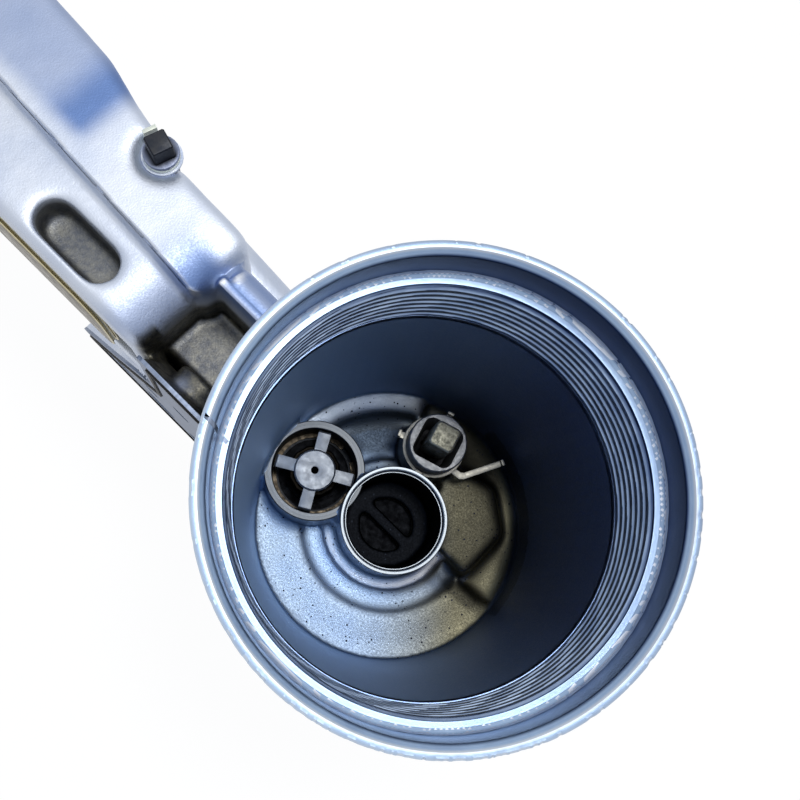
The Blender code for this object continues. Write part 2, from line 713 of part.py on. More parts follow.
    place("deck_slot", prism(slot, -DECK_LOWER - SLOT_DEPTH, -DECK_LOWER + 0.002), into=bores)
    screw = turned([
        (0, -DECK_UPPER + 0.002),
        (SCREW_RECESS, -DECK_UPPER + 0.002),
        (SCREW_RECESS, -DECK_UPPER - SCREW_RECESS_DEPTH),
        (SCREW_SHANK + SEAT_GAP, -DECK_UPPER - SCREW_RECESS_DEPTH),
        (SCREW_SHANK + SEAT_GAP, -DECK_UPPER - SCREW_RECESS_DEPTH - SCREW_LENGTH - 0.004),
        (0, -DECK_UPPER - SCREW_RECESS_DEPTH - SCREW_LENGTH - 0.004),
    ])
    place("screw_hole", screw, location=(SCREW_X, SCREW_Y, 0), into=bores)
    for x, z in cooler_bolt_places():
        place("cooler_bolt_hole", prism(arc(x, z, COOLER_BOLT + SEAT_GAP, 0, 330, 11),
                                        COOLER_BACK - 0.002, COOLER_BACK + BOLT_GRIP + 0.003, "Y"), into=bores)
    for x, z in cooler_port_places():
        place("cooler_port", prism(arc(x, z, COOLER_PORT, 0, 340, 17),
                                   COOLER_BACK - 0.002, COOLER_BACK + 0.022, "Y"), into=bores)
        rim = hollow_prism(arc(x, z, COOLER_SEAL + COOLER_SEAL_WIRE + SEAT_GAP, 0, 340, 17),
                           arc(x, z, COOLER_SEAL - COOLER_SEAL_WIRE - SEAT_GAP, 0, 340, 17),
                           COOLER_BACK - 0.002, COOLER_BACK + 1.6 * COOLER_SEAL_WIRE + SEAT_GAP, "Y")
        place("cooler_seal_groove", rim, into=bores)

    combine(body, "UNION", outside)
    combine(body, "DIFFERENCE", trims)
    combine(body, "UNION", inside)
    combine(body, "DIFFERENCE", bores)
    return body


def passages():
    """The three oil ways, each as the points of its centre line and its radius."""
    out = -FLANGE_OFFSET - 0.020
    return [
        ("inlet", [
            (INLET_X, INLET_Y, -PASSAGE_DEPTH),
            (PASSAGE_RISE_X, INLET_Y, -PASSAGE_DEPTH),
            (INLET_PORT_X, INLET_Y, -PORT_DEPTH),
            (INLET_PORT_X, out, -PORT_DEPTH),
        ], PORT_RADIUS),
        ("outlet", [
            (0.0, 0.0, -OUTLET_DEPTH),
            (-0.030, OUTLET_RUN_Y, -OUTLET_DEPTH),
            (PASSAGE_RISE_X, OUTLET_RUN_Y, -OUTLET_DEPTH),
            (OUTLET_PORT_X, OUTLET_RUN_Y, -PORT_DEPTH),
            (OUTLET_PORT_X, out, -PORT_DEPTH),
        ], PORT_RADIUS),
        ("drain", [
            (DRAIN_X, DRAIN_Y, -PASSAGE_DEPTH),
            (PASSAGE_RISE_X, DRAIN_Y, -PASSAGE_DEPTH),
            (DRAIN_PORT_X, DRAIN_Y, -PORT_DEPTH),
            (DRAIN_PORT_X, out, -PORT_DEPTH),
        ], DRAIN_PASSAGE),
    ]


def wells():
    """The two bores that lead from the bowl's floor down to a passage."""
    return [("inlet", INLET_X, INLET_Y, INLET_PORT), ("drain", DRAIN_X, DRAIN_Y, DRAIN_WELL)]


def hollow_sides():
    """The two hollows under the arm: left and right ends, and the outer side at each."""
    rib = -0.165
    return [
        (ARM_END + ARM_WALL, rib - ARM_WALL / 2, SIDE_FAR - ARM_WALL, SIDE_BULGE - 0.003),
        (rib + ARM_WALL / 2, ARM_NEAR - 0.009, SIDE_BULGE - ARM_WALL + 0.001, SIDE_NEAR - ARM_WALL + 0.0015),
    ]


def seal_ring(trim, depth, proud):
    """The band that follows the flange's edge, from below its face to just proud of it."""
    outer = rounded(inset(FLANGE_CORNERS, SEAL_INSET + trim))
    inner = rounded(inset(FLANGE_CORNERS, SEAL_INSET + SEAL_WIDTH - trim))
    return hollow_prism(outer, inner, -FLANGE_OFFSET - proud, -FLANGE_OFFSET + depth, "Y")


def cooler_bolt_places():
    """The four bolts at the corners of the cooler's base plate."""
    left = COOLER_LEFT + COOLER_BOLT_INSET
    right = COOLER_RIGHT - COOLER_BOLT_INSET
    top = -COOLER_TOP - COOLER_BOLT_INSET
    foot = -COOLER_FOOT + COOLER_BOLT_INSET
    return [(left, top), (right, top), (right, foot), (left, foot)]


def cooler_port_places():
    """The cooler's two oil ports, on its long middle line."""
    middle = -(COOLER_TOP + COOLER_FOOT) / 2
    reach = STACK_INSET_X + 2 * PLATE_CORNER
    return [(COOLER_LEFT + reach, middle), (COOLER_RIGHT - reach, middle)]


def oil_cooler():
    """A brazed stack of pressed plates on a thicker base plate, one unit."""
    corner = 0.006
    base_outline = rounded([
        (COOLER_LEFT, -COOLER_FOOT, corner),
        (COOLER_RIGHT, -COOLER_FOOT, corner),
        (COOLER_RIGHT, -COOLER_TOP, corner),
        (COOLER_LEFT, -COOLER_TOP, corner),
    ])
    base = place("oil_cooler", prism(base_outline, COOLER_BACK - COOLER_BASE, COOLER_BACK, "Y"), stainless)
    stack_corners = [
        (COOLER_LEFT + STACK_INSET_X, -COOLER_FOOT + 0.001, PLATE_CORNER),
        (COOLER_RIGHT - STACK_INSET_X, -COOLER_FOOT + 0.001, PLATE_CORNER),
        (COOLER_RIGHT - STACK_INSET_X, -COOLER_TOP - 0.001, PLATE_CORNER),
        (COOLER_LEFT + STACK_INSET_X, -COOLER_TOP - 0.001, PLATE_CORNER),
    ]
    mesh = bmesh.new()
    loops = []
    y = COOLER_BACK - COOLER_BASE + 0.0005
    narrow = rounded(inset(stack_corners, 0.0012))
    wide = rounded(stack_corners)
    levels = [(y, narrow)]
    for k in range(COOLER_PLATES):
        start = COOLER_BACK - COOLER_BASE - k * PLATE_PITCH
        lip = start - PLATE_PITCH + PLATE_LIP
        levels += [(lip + 0.0004, narrow), (lip, wide), (lip - PLATE_LIP + 0.0004, wide), (lip - PLATE_LIP, narrow)]
    for level, outline in levels:
        loops.append([mesh.verts.new((x, level, z)) for x, z in outline])
    for one, two in zip(loops, loops[1:]):
        for k in range(len(one)):
            n = (k + 1) % len(one)
            mesh.faces.new((one[k], one[n], two[n], two[k]))
    mesh.faces.new(loops[0])
    mesh.faces.new(loops[-1])
    stack = group("cooler_stack")
    place("plate_stack", mesh, into=stack)
    combine(base, "UNION", stack)
    holes = group("cooler_holes")
    for x, z in cooler_bolt_places():
        place("base_hole", prism(arc(x, z, COOLER_BOLT + SEAT_GAP, 0, 330, 11),
                                 COOLER_BACK - COOLER_BASE - 0.001, COOLER_BACK + 0.001, "Y"), into=holes)
    for x, z in cooler_port_places():
        place("base_port", prism(arc(x, z, COOLER_PORT, 0, 340, 17),
                                 COOLER_BACK - COOLER_BASE - 0.006, COOLER_BACK + 0.001, "Y"), into=holes)
    combine(base, "DIFFERENCE", holes)


def cooler_fixings():
    """Four hexagon bolts through the base plate and an O-ring round each oil port."""
    head_radius = BOLT_HEAD_FLATS / 2 / math.cos(math.radians(30))
    for k, (x, z) in enumerate(cooler_bolt_places()):
        mesh = bmesh.new()
        # The bolt's axis runs along Y; its head lies on the base plate's outer face
        head = COOLER_BACK - COOLER_BASE - SEAT_GAP
        rings = [
            [(head_radius, a) for a in range(0, 360, 30)], [(head_radius, a) for a in range(0, 360, 30)],
            [(COOLER_BOLT, a) for a in range(0, 360, 30)], [(COOLER_BOLT, a) for a in range(0, 360, 30)],
        ]
        levels = [head - BOLT_HEAD_HEIGHT, head, head, COOLER_BACK + BOLT_GRIP]
        loops = []
        for level, spokes in zip(levels, rings):
            loop = []
            for radius, angle in spokes:
                flat = radius
                if radius == head_radius and angle % 60:
                    flat = BOLT_HEAD_FLATS / 2
                a = math.radians(angle)
                loop.append(mesh.verts.new((flat * math.cos(a), level, flat * math.sin(a))))
            loops.append(loop)
        for one, two in zip(loops, loops[1:]):
            for n in range(12):
                m = (n + 1) % 12
                mesh.faces.new((one[n], one[m], two[m], two[n]))
        mesh.faces.new(loops[0])
        mesh.faces.new(loops[-1])
        place(f"cooler_bolt_{k + 1}", mesh, zinc_steel, location=(x, 0, z))
    for side, (x, z) in zip(("left", "right"), cooler_port_places()):
        section = [(COOLER_SEAL + COOLER_SEAL_WIRE * math.cos(a), 0.8 * COOLER_SEAL_WIRE * math.sin(a))
                   for a in (math.radians(60 * k) for k in range(6))]
        mesh = turned(section, 20, ring=True)
        bmesh.ops.rotate(mesh, cent=(0, 0, 0), matrix=Matrix.Rotation(math.radians(90), 3, "X"), verts=mesh.verts[:])
        place(f"cooler_seal_{side}", mesh, rubber,
              location=(x, COOLER_BACK + SEAT_GAP + 0.8 * COOLER_SEAL_WIRE, z))


def block_seal():
    """The moulded rubber seal in the flange's groove."""
    mesh = seal_ring(SEAT_GAP, SEAL_GROOVE - SEAT_GAP, SEAL_PROUD)
    place("block_seal", mesh, rubber)


def inlet_valve():
    """A sprung disc under a four-armed cage; oil lifts the disc on its way into the bowl."""
    here = (INLET_X, INLET_Y, 0)
    outer = INLET_BORE - SEAT_GAP
    ring = [(outer, -SEAT_RING_TOP), (outer, -SEAT_RING_TOP - SEAT_RING_THICK),
            (INLET_PORT + 0.0006, -SEAT_RING_TOP - SEAT_RING_THICK), (INLET_PORT + 0.0006, -SEAT_RING_TOP)]
    place("inlet_valve_seat", turned(ring, VALVE_ROUND, ring=True), zinc_steel, location=here)

    foot = -INLET_DISC_FOOT
    disc = [(0, foot), (INLET_DISC_RADIUS, foot), (INLET_DISC_RADIUS, foot + INLET_DISC_THICK),
            (INLET_DISC_RADIUS - 0.004, foot + INLET_DISC_THICK), (INLET_DISC_RADIUS - 0.0055, foot + INLET_DISC_THICK + 0.0015),
            (0, foot + INLET_DISC_THICK + 0.0015)]
    place("inlet_valve_disc", turned(disc), zinc_steel, location=here)

    low = foot + INLET_DISC_THICK + SEAT_GAP
    high = -CAGE_TOP - SEAT_GAP
    place("inlet_valve_spring", coil(INLET_SPRING_RADIUS, INLET_SPRING_WIRE, low, high, 5), spring_steel, location=here)

    cage = place("inlet_valve_cage", cage_hub(), zinc_steel, location=here)
    arms = group("cage_arms")
    for k in range(4):
        place("cage_arm", spin_z(cage_arm(), CAGE_TURN + 90 * k), location=here, into=arms)
    base = [(outer, -CAGE_FOOT), (outer, -CAGE_FOOT + CAGE_SHEET),
            (CAGE_LEG_RADIUS - 0.002, -CAGE_FOOT + CAGE_SHEET), (CAGE_LEG_RADIUS - 0.002, -CAGE_FOOT)]
    place("cage_base", turned(base, VALVE_ROUND, ring=True), location=here, into=arms)
    combine(cage, "UNION", arms)

    clip_low = -CAGE_FOOT + CAGE_SHEET + SEAT_GAP
    outer = INLET_BORE + CIRCLIP_DEPTH - SEAT_GAP
    outline = arc(0, 0, outer, 12, 348, 28) + arc(0, 0, outer - 0.0022, 348, 12, 28)
    mesh = prism(outline, clip_low, clip_low + CIRCLIP_WIRE)
    place("inlet_valve_circlip", spin_z(mesh, 75), spring_steel, location=here)


def cage_hub():
    """The cage's middle disc, dished up a little, with its small hole."""
    top = -CAGE_TOP + CAGE_SHEET + CAGE_HUB_RISE
    profile = [(CAGE_HUB_HOLE, top), (CAGE_HUB_RADIUS - 0.0006, top), (CAGE_HUB_RADIUS, top - 0.0006),
               (CAGE_HUB_RADIUS, top - CAGE_SHEET - CAGE_HUB_RISE), (CAGE_HUB_HOLE, top - CAGE_SHEET - CAGE_HUB_RISE)]
    return turned(profile, SMALL_ROUND, ring=True)


def cage_arm():
    """One arm: flat from the hub, bent down as a leg to the base ring."""
    top = -CAGE_TOP + CAGE_SHEET
    inner = CAGE_HUB_RADIUS - 0.002
    outer = CAGE_LEG_RADIUS
    side = [
        (inner, top - CAGE_SHEET), (inner, top), (outer - 0.0012, top), (outer, top - 0.0012),
        (outer, -CAGE_FOOT + CAGE_SHEET / 2), (outer - CAGE_SHEET, -CAGE_FOOT + CAGE_SHEET / 2),
        (outer - CAGE_SHEET, top - 0.0016), (outer - 0.0016, top - CAGE_SHEET),
    ]
    mesh = prism(side, -CAGE_ARM_WIDTH / 2, CAGE_ARM_WIDTH / 2, "Y")
    return mesh


def drain_valve():
    """A sleeve in the floor with a four-sided mouth, a sprung plunger and its seal."""
    here = (DRAIN_X, DRAIN_Y, 0)
    body = [(0, -DRAIN_TOP), (COLLAR_RADIUS - 0.0006, -DRAIN_TOP), (COLLAR_RADIUS, -DRAIN_TOP - 0.0006),
            (COLLAR_RADIUS, -COLLAR_FOOT), (SLEEVE_RADIUS, -COLLAR_FOOT), (SLEEVE_RADIUS, -SLEEVE_FOOT), (0, -SLEEVE_FOOT)]
    sleeve = place("drain_valve_sleeve", turned(body), cast_aluminium, location=here)
    cuts = group("sleeve_cuts")
    half = SOCKET_HALF
    mouth = rounded([(-half, -half, 0.003), (half, -half, 0.003), (half, half, 0.003), (-half, half, 0.003)])
    place("mouth", spin_z(prism(mouth, -SOCKET_FLOOR, -DRAIN_TOP + 0.001), DRAIN_TURN), location=here, into=cuts)
    way = turned([(0, -SOCKET_FLOOR + 0.001), (PLUNGER_STEM + 0.0004, -SOCKET_FLOOR + 0.001),
                  (PLUNGER_STEM + 0.0004, -SLEEVE_FOOT - 0.001), (0, -SLEEVE_FOOT - 0.001)], 24)
    place("stem_way", way, location=here, into=cuts)
    for angle in (0, 90, 180, 270):
        drill = turned([(0, -SOCKET_FLOOR - 0.001), (0.0013, -SOCKET_FLOOR - 0.001),
                        (0.0013, -SLEEVE_FOOT - 0.001), (0, -SLEEVE_FOOT - 0.001)], 12)
        spot = math.radians(angle + DRAIN_TURN)
        reach = (PLUNGER_STEM + PLUNGER_FOOT) / 2 + 0.0003
        place("oil_way", drill, into=cuts,
              location=(DRAIN_X + reach * math.cos(spot), DRAIN_Y + reach * math.sin(spot), 0.0015))
    combine(sleeve, "DIFFERENCE", cuts)

    half = PLUNGER_HALF
    square = rounded([(-half, -half, 0.002), (half, -half, 0.002), (half, half, 0.002), (-half, half, 0.002)])
    head = spin_z(prism(square, -PLUNGER_NECK, -PLUNGER_TOP), DRAIN_TURN)
    plunger = soften(place("drain_valve_plunger", head, zinc_steel, location=here), 0.0009)
    foot = -SLEEVE_FOOT - SEAT_GAP - DRAIN_SEAL_THICK - SEAT_GAP
    stem = turned([(0, -PLUNGER_NECK + 0.002), (PLUNGER_STEM, -PLUNGER_NECK + 0.002), (PLUNGER_STEM, foot),
                   (PLUNGER_FOOT, foot), (PLUNGER_FOOT, foot - 0.0015), (0, foot - 0.0015)], 24)
    stems = group("plunger_stem")
    place("stem", stem, location=here, into=stems)
    combine(plunger, "UNION", stems)

    top = -SLEEVE_FOOT - SEAT_GAP
    inner = PLUNGER_STEM + SEAT_GAP
    seal = [(PLUNGER_FOOT, top), (PLUNGER_FOOT, top - DRAIN_SEAL_THICK), (inner, top - DRAIN_SEAL_THICK), (inner, top)]
    place("drain_valve_seal", turned(seal, 24, ring=True), rubber, location=here)
    low = -SOCKET_FLOOR + SEAT_GAP
    high = -PLUNGER_NECK - SEAT_GAP
    place("drain_valve_spring", coil(DRAIN_SPRING_RADIUS, DRAIN_SPRING_WIRE, low, high, 4), spring_steel, location=here)
    drain_clip(here)


def drain_clip(here):
    """The sheet clip under the collar, with three turned-up tabs and one long arm."""
    low = -CLIP_TOP - CLIP_SHEET
    inner = SLEEVE_RADIUS + SEAT_GAP
    ring = [(CLIP_RADIUS, low), (CLIP_RADIUS, -CLIP_TOP), (inner, -CLIP_TOP), (inner, low)]
    clip = place("drain_valve_clip", turned(ring, SMALL_ROUND, ring=True), zinc_steel, location=here)
    limbs = group("clip_limbs")
    for angle, reach in CLIP_TABS:
        side = [
            (reach - 0.0036, low + 0.0001), (reach, low + 0.0001), (reach, low + CLIP_TAB_RISE),
            (reach - CLIP_SHEET, low + CLIP_TAB_RISE), (reach - CLIP_SHEET, -CLIP_TOP - 0.0001),
            (reach - 0.0036, -CLIP_TOP - 0.0001),
        ]
        tab = prism(side, -CLIP_TAB_WIDTH / 2, CLIP_TAB_WIDTH / 2, "Y")
        place("tab", spin_z(tab, angle), location=here, into=limbs)
    # The long arm leaves the ring towards the bowl's far wall and rises a little to its tip
    start = Vector((CLIP_RADIUS - 0.002, -0.002))
    knee = Vector((0.0188, -0.0012))
    tip = Vector((0.0278, 0.0168))
    along = (tip - knee).normalized()
    across = Vector((-along.y, along.x)) * CLIP_ARM_WIDTH / 2
    root = Vector((0, CLIP_ARM_WIDTH / 2))
    outline = [start - root, knee - root, knee - across + along * 0.001, tip - across, tip + across,
               knee + across + along * 0.002, knee + root - Vector((0.0015, 0)), start + root]
    place("arm", prism([tuple(p) for p in outline], low + 0.0001, -CLIP_TOP - 0.0001), location=here, into=limbs)
    end = tip - along * 0.0005
    hook = [end - across, end + along * CLIP_SHEET - across, end + along * CLIP_SHEET + across, end + across]
    place("arm_hook", prism([tuple(p) for p in hook], low + 0.0002, low + CLIP_TAB_RISE), location=here, into=limbs)
    combine(clip, "UNION", limbs)


def outlet_valve():
    """A disc under the bridge of the centre tube, a spring and the plug that carries it."""
    top = -OUTLET_DISC_TOP
    disc = [(0, top), (OUTLET_DISC_RADIUS, top), (OUTLET_DISC_RADIUS, top - OUTLET_DISC_THICK),
            (OUTLET_DISC_RADIUS - 0.009, top - OUTLET_DISC_THICK), (OUTLET_DISC_RADIUS - 0.010, top - OUTLET_DISC_THICK - 0.002),
            (0, top - OUTLET_DISC_THICK - 0.002)]
    place("outlet_valve_disc", turned(disc), black_steel)
    low = -PLUG_TOP + SEAT_GAP
    high = top - OUTLET_DISC_THICK - SEAT_GAP
    place("outlet_valve_spring", coil(OUTLET_SPRING_RADIUS, OUTLET_SPRING_WIRE, low, high, 4), spring_steel)
    radius = CHAMBER_RADIUS - SEAT_GAP
    plug = place("chamber_plug", turned([(0, -PLUG_TOP), (radius, -PLUG_TOP), (radius, -CHAMBER_MOUTH + 0.001),
                                         (radius - 0.001, -CHAMBER_MOUTH), (0, -CHAMBER_MOUTH)]), zinc_steel)
    sockets = group("plug_socket")
    place("socket", prism(arc(0, 0, PLUG_SOCKET, 0, 300, 5), -CHAMBER_MOUTH - 0.001, -CHAMBER_MOUTH + 0.0045),
          into=sockets)
    combine(plug, "DIFFERENCE", sockets)


def deck_screw():
    """A square-headed screw plug in its recess at the deck's edge, with a washer and a bent tab."""
    here = (SCREW_X, SCREW_Y, 0)
    floor = -DECK_UPPER - SCREW_RECESS_DEPTH
    washer_top = floor + SEAT_GAP + WASHER_THICK
    ring = [(WASHER_RADIUS, floor + SEAT_GAP), (WASHER_RADIUS, washer_top),
            (SCREW_SHANK + SEAT_GAP, washer_top), (SCREW_SHANK + SEAT_GAP, floor + SEAT_GAP)]
    place("plug_washer", turned(ring, SMALL_ROUND, ring=True), zinc_steel, location=here)
    collar = washer_top + SEAT_GAP + TAB_SHEET + SEAT_GAP
    profile = [(0, floor - SCREW_LENGTH), (SCREW_SHANK - 0.0006, floor - SCREW_LENGTH),
               (SCREW_SHANK, floor - SCREW_LENGTH + 0.0006), (SCREW_SHANK, collar), (SCREW_COLLAR, collar),
               (SCREW_COLLAR, collar + SCREW_COLLAR_HEIGHT), (0, collar + SCREW_COLLAR_HEIGHT)]
    screw = place("deck_plug", turned(profile), black_steel, location=here)
    heads = group("plug_head")
    half = SCREW_HEAD / 2
    square = rounded([(-half, -half, 0.0006), (half, -half, 0.0006), (half, half, 0.0006), (-half, half, 0.0006)], 2)
    head = prism(square, collar + SCREW_COLLAR_HEIGHT - 0.0005, collar + SCREW_COLLAR_HEIGHT + SCREW_HEAD_HEIGHT)
    soften(place("square_head", spin_z(head, SCREW_TURN), location=here, into=heads), 0.0005)
    combine(screw, "UNION", heads)

    low = washer_top + SEAT_GAP
    tab = place("plug_lock_tab", turned([(SCREW_COLLAR, low), (SCREW_COLLAR, low + TAB_SHEET),
                                         (SCREW_SHANK + SEAT_GAP, low + TAB_SHEET), (SCREW_SHANK + SEAT_GAP, low)],
                                        SMALL_ROUND, ring=True), pale_tab, location=here)
    leaves = group("tab_leaf")
    reach = SCREW_RECESS - 0.0012
    side = [(SCREW_COLLAR - 0.0008, low + 0.0001), (reach, low + 0.0001), (reach + 0.0004, low + TAB_RISE),
            (reach - TAB_SHEET + 0.0002, low + TAB_RISE), (reach - TAB_SHEET, low + TAB_SHEET - 0.0001),
            (SCREW_COLLAR - 0.0008, low + TAB_SHEET - 0.0001)]
    leaf = prism(side, -TAB_WIDTH / 2, TAB_WIDTH / 2, "Y")
    place("leaf", spin_z(leaf, 180 + SCREW_TURN), location=here, into=leaves)
    combine(tab, "UNION", leaves)


housing()
block_seal()
oil_cooler()
cooler_fixings()
inlet_valve()
drain_valve()
outlet_valve()
deck_screw()
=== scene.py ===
# %% [markdown]
# # An oil filter base, dressed over its CAD solids
# The object is the cast aluminium base of a truck engine's oil filter: a deep bowl that takes the
# cartridge, with two valves and a centre tube in its floor, on an arm with a plate cooler and a flange for
# the block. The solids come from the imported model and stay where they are. This lesson lays finer skins
# over the ones that show, and gives every piece a finish that starts from its real metal.

# %% Load the solids
import json
import math

import bmesh
import bpy
import numpy as np
from mathutils import Matrix, Vector


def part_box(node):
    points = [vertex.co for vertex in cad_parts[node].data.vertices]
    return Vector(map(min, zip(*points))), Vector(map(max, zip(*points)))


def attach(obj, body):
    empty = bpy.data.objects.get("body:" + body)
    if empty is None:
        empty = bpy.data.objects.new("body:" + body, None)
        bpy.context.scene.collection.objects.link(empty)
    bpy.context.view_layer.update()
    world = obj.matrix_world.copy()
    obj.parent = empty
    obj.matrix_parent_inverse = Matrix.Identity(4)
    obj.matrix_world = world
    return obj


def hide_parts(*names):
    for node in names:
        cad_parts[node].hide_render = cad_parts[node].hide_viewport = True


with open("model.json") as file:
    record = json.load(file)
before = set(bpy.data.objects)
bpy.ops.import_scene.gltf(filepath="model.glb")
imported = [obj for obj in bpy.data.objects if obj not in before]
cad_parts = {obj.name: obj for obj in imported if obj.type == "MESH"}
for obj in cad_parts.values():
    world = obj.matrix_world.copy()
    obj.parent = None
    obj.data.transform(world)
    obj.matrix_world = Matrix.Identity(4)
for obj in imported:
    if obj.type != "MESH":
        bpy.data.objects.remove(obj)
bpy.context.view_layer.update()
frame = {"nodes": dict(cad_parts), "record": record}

# %% [markdown]
# ## Where things are
# The bowl is round, so most places are easiest to say from its axis: a radius, an angle and a depth below
# the rim. The file's own frame starts at the middle of the flange's face, so one fixed step joins the two.
# Lengths in metres are the frame's, and places about the bowl's axis are in millimetres.

# %% The bowl's axis and rim in the frame, and the valves' axes about it
BOWL_X = 0.095
BOWL_Y = 0.036
RIM_Z = float(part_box("housing")[1].z)
BOWL = np.array([BOWL_X, BOWL_Y, RIM_Z])
INLET = np.array([-41.0, -9.0])
DRAIN = np.array([-10.3, 38.3])
print("rim at", round(RIM_Z, 4))

# %% [markdown]
# ## Camera
# The photograph was taken by hand from above the mouth, a little to the engine's side and turned by 45
# degrees, so that the arm runs out at the upper left. A camera can be aimed with constraints, but its
# three axes were worked out from the rim's and the floor's circles, so they are set as they are.

# %% An object in the scene
def placed(name, data):
    """A new object with its data, linked to the scene."""
    made = bpy.data.objects.new(name, data)
    bpy.context.scene.collection.objects.link(made)
    return made


# %% The camera at the photograph's view
CAMERA_PLACE = (0.0787, -0.0148, 0.4091)
view = bpy.data.cameras.new("photo_view")
view.lens = 45
view.sensor_width = 36
view.clip_start = 0.01
camera = placed("photo_view", view)
right = Vector((0.7096, 0.6959, 0.1109)).normalized()
up = Vector((-0.7033, 0.6896, 0.1729)).normalized()
back = right.cross(up).normalized()
up = back.cross(right)
turn = Matrix((right, up, back)).transposed().to_4x4()
camera.matrix_world = Matrix.Translation(CAMERA_PLACE) @ turn
bpy.context.scene.camera = camera
print("camera looks along", [round(-c, 3) for c in back])

# %% [markdown]
# ## Light and floor
# Cast aluminium shows its form by how it falls off from light to dark, so one soft lamp stands almost
# straight above the mouth. It reaches the bowl's floor and the decks squarely, and only grazes the walls.
# A pale world fills the shadows. Rays from the camera and mirror rays see plain white instead.

# %% Colours are written as a painter's hex values
WHITE = (1, 1, 1, 1)


def tint(code):
    """Turns an sRGB hex colour into linear red, green and blue with full alpha: each channel above a
    small limit is ((c + 0.055) / 1.055) to the power 2.4, and c / 12.92 below it."""
    parts = [int(code[k:k + 2], 16) / 255 for k in (0, 2, 4)]
    return tuple(c / 12.92 if c <= 0.04045 else ((c + 0.055) / 1.055) ** 2.4 for c in parts) + (1.0,)


# %% Helpers that add nodes with their settings and links
def add(tree, kind, sockets=None, **settings):
    """Adds a node. Settings are its properties. Each entry of sockets is either a link, when its value is
    another node's output, or a plain value."""
    made = tree.nodes.new("ShaderNode" + kind)
    for name, value in settings.items():
        setattr(made, name, value)
    for socket, value in (sockets or {}).items():
        if isinstance(value, bpy.types.NodeSocket):
            tree.links.new(value, made.inputs[socket])
        else:
            made.inputs[socket].default_value = value
    return made


def reckon(tree, operation, one, two):
    """The result of one operation on two values."""
    return add(tree, "Math", {0: one, 1: two}, operation=operation).outputs[0]


def seen_directly(tree):
    """1 for rays from the camera, mirror rays and rays through glass, 0 for rays that only carry light."""
    path = add(tree, "LightPath").outputs
    seen = reckon(tree, "MAXIMUM", path["Is Camera Ray"], path["Is Glossy Ray"])
    return reckon(tree, "MAXIMUM", seen, path["Is Transmission Ray"])


# %% World
world = bpy.data.worlds.new("studio")
bpy.context.scene.world = world
world.use_nodes = True
tree = world.node_tree
fill = add(tree, "Background", {"Color": tint("CFDDF6"), "Strength": 0.5})
plain = add(tree, "Background", {"Color": WHITE, "Strength": 1.0})
both = add(tree, "MixShader", {0: seen_directly(tree), 1: fill.outputs[0], 2: plain.outputs[0]})
tree.links.new(both.outputs[0], tree.nodes["World Output"].inputs["Surface"])
bpy.context.scene.view_settings.view_transform = "Standard"

# %% The soft lamp above the mouth
lamp_data = bpy.data.lights.new("soft_lamp", "AREA")
lamp_data.shape = "DISK"
lamp_data.size = 0.2
lamp_data.energy = 5.0
lamp_data.color = (1.0, 0.96, 0.9)
lamp = placed("soft_lamp", lamp_data)
aim = Vector((BOWL_X - 0.03, BOWL_Y - 0.02, 0.0))
lamp.location = aim + Vector((0.02, 0.19, 1.0))
lamp.rotation_euler = (lamp.location - aim).to_track_quat("Z", "Y").to_euler()
print("lamp stands", round((lamp.location - aim).length, 3), "m away")

# %% The floor under the part: to the camera it is mostly its own glow, so that it stays white
FLOOR_HALF = 4
FLOOR_GLOW = 0.93
LOWEST = float(min(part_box(name)[0].z for name in frame["nodes"]))
corners = [(FLOOR_HALF * x, FLOOR_HALF * y, LOWEST) for x, y in ((-1, -1), (1, -1), (1, 1), (-1, 1))]
floor_mesh = bpy.data.meshes.new("floor")
floor_mesh.from_pydata(corners, [], [(0, 1, 2, 3)])
floor = placed("floor", floor_mesh)
floor_paint = bpy.data.materials.new("pale_floor")
floor_paint.use_nodes = True
tree = floor_paint.node_tree
tree.nodes.remove(tree.nodes["Principled BSDF"])
matt = add(tree, "BsdfDiffuse", {"Color": tint("F6F7F9")})
glow = add(tree, "Emission", {"Color": WHITE, "Strength": 1.03})
share = reckon(tree, "MULTIPLY", seen_directly(tree), FLOOR_GLOW)
both = add(tree, "MixShader", {0: share, 1: matt.outputs[0], 2: glow.outputs[0]})
tree.links.new(both.outputs[0], tree.nodes["Material Output"].inputs["Surface"])
floor_mesh.materials.append(floor_paint)
print("floor at", round(LOWEST, 4))

# %% [markdown]
# ## Finish: aluminium as it comes from the mould
# The casting is a silicon aluminium, shot blasted after the mould. Blasting leaves a satin skin of small
# dents about half a millimetre wide, so it shines broadly and never mirrors. Edges that get handled turn
# brighter, and two ledges on the floor get a painted highlight. Hollows, bores, the gap behind the flange
# and the lee of the valves get painted shade, and the slot is olive-brown. Pores show as dark specks on the
# bowl's floor, which turns from cool blue-grey to drab olive towards the right. The wall is painted dark
# navy as shade, lighter blue where a painted sky reflection falls, and parts of the deck get a painted blue
# shade, as a white studio gives neither. Where each of these lies is a value at the skin's points, made
# further below.

# %% Short names for the nodes that every finish needs
def finish(name):
    """A new material, its tree, and the place on the object that its patterns start from."""
    made = bpy.data.materials.new(name)
    made.use_nodes = True
    return made, made.node_tree, add(made.node_tree, "TexCoord").outputs["Object"]


def noise(tree, place, scale, detail, roughness=0.5):
    """A cloud of values, with about scale waves in a metre."""
    sockets = {"Vector": place, "Scale": scale, "Detail": detail, "Roughness": roughness}
    return add(tree, "TexNoise", sockets).outputs["Fac"]


def mapped(tree, value, low, high, to_low=0.0, to_high=1.0):
    """A value carried from one range to another and clamped at both ends."""
    sockets = {"Value": value, "From Min": low, "From Max": high, "To Min": to_low, "To Max": to_high}
    return add(tree, "MapRange", sockets).outputs[0]


def mark(tree, name):
    """The value that a skin's points carry under this name, or 0 where it has none."""
    return add(tree, "Attribute", attribute_name=name).outputs["Fac"]


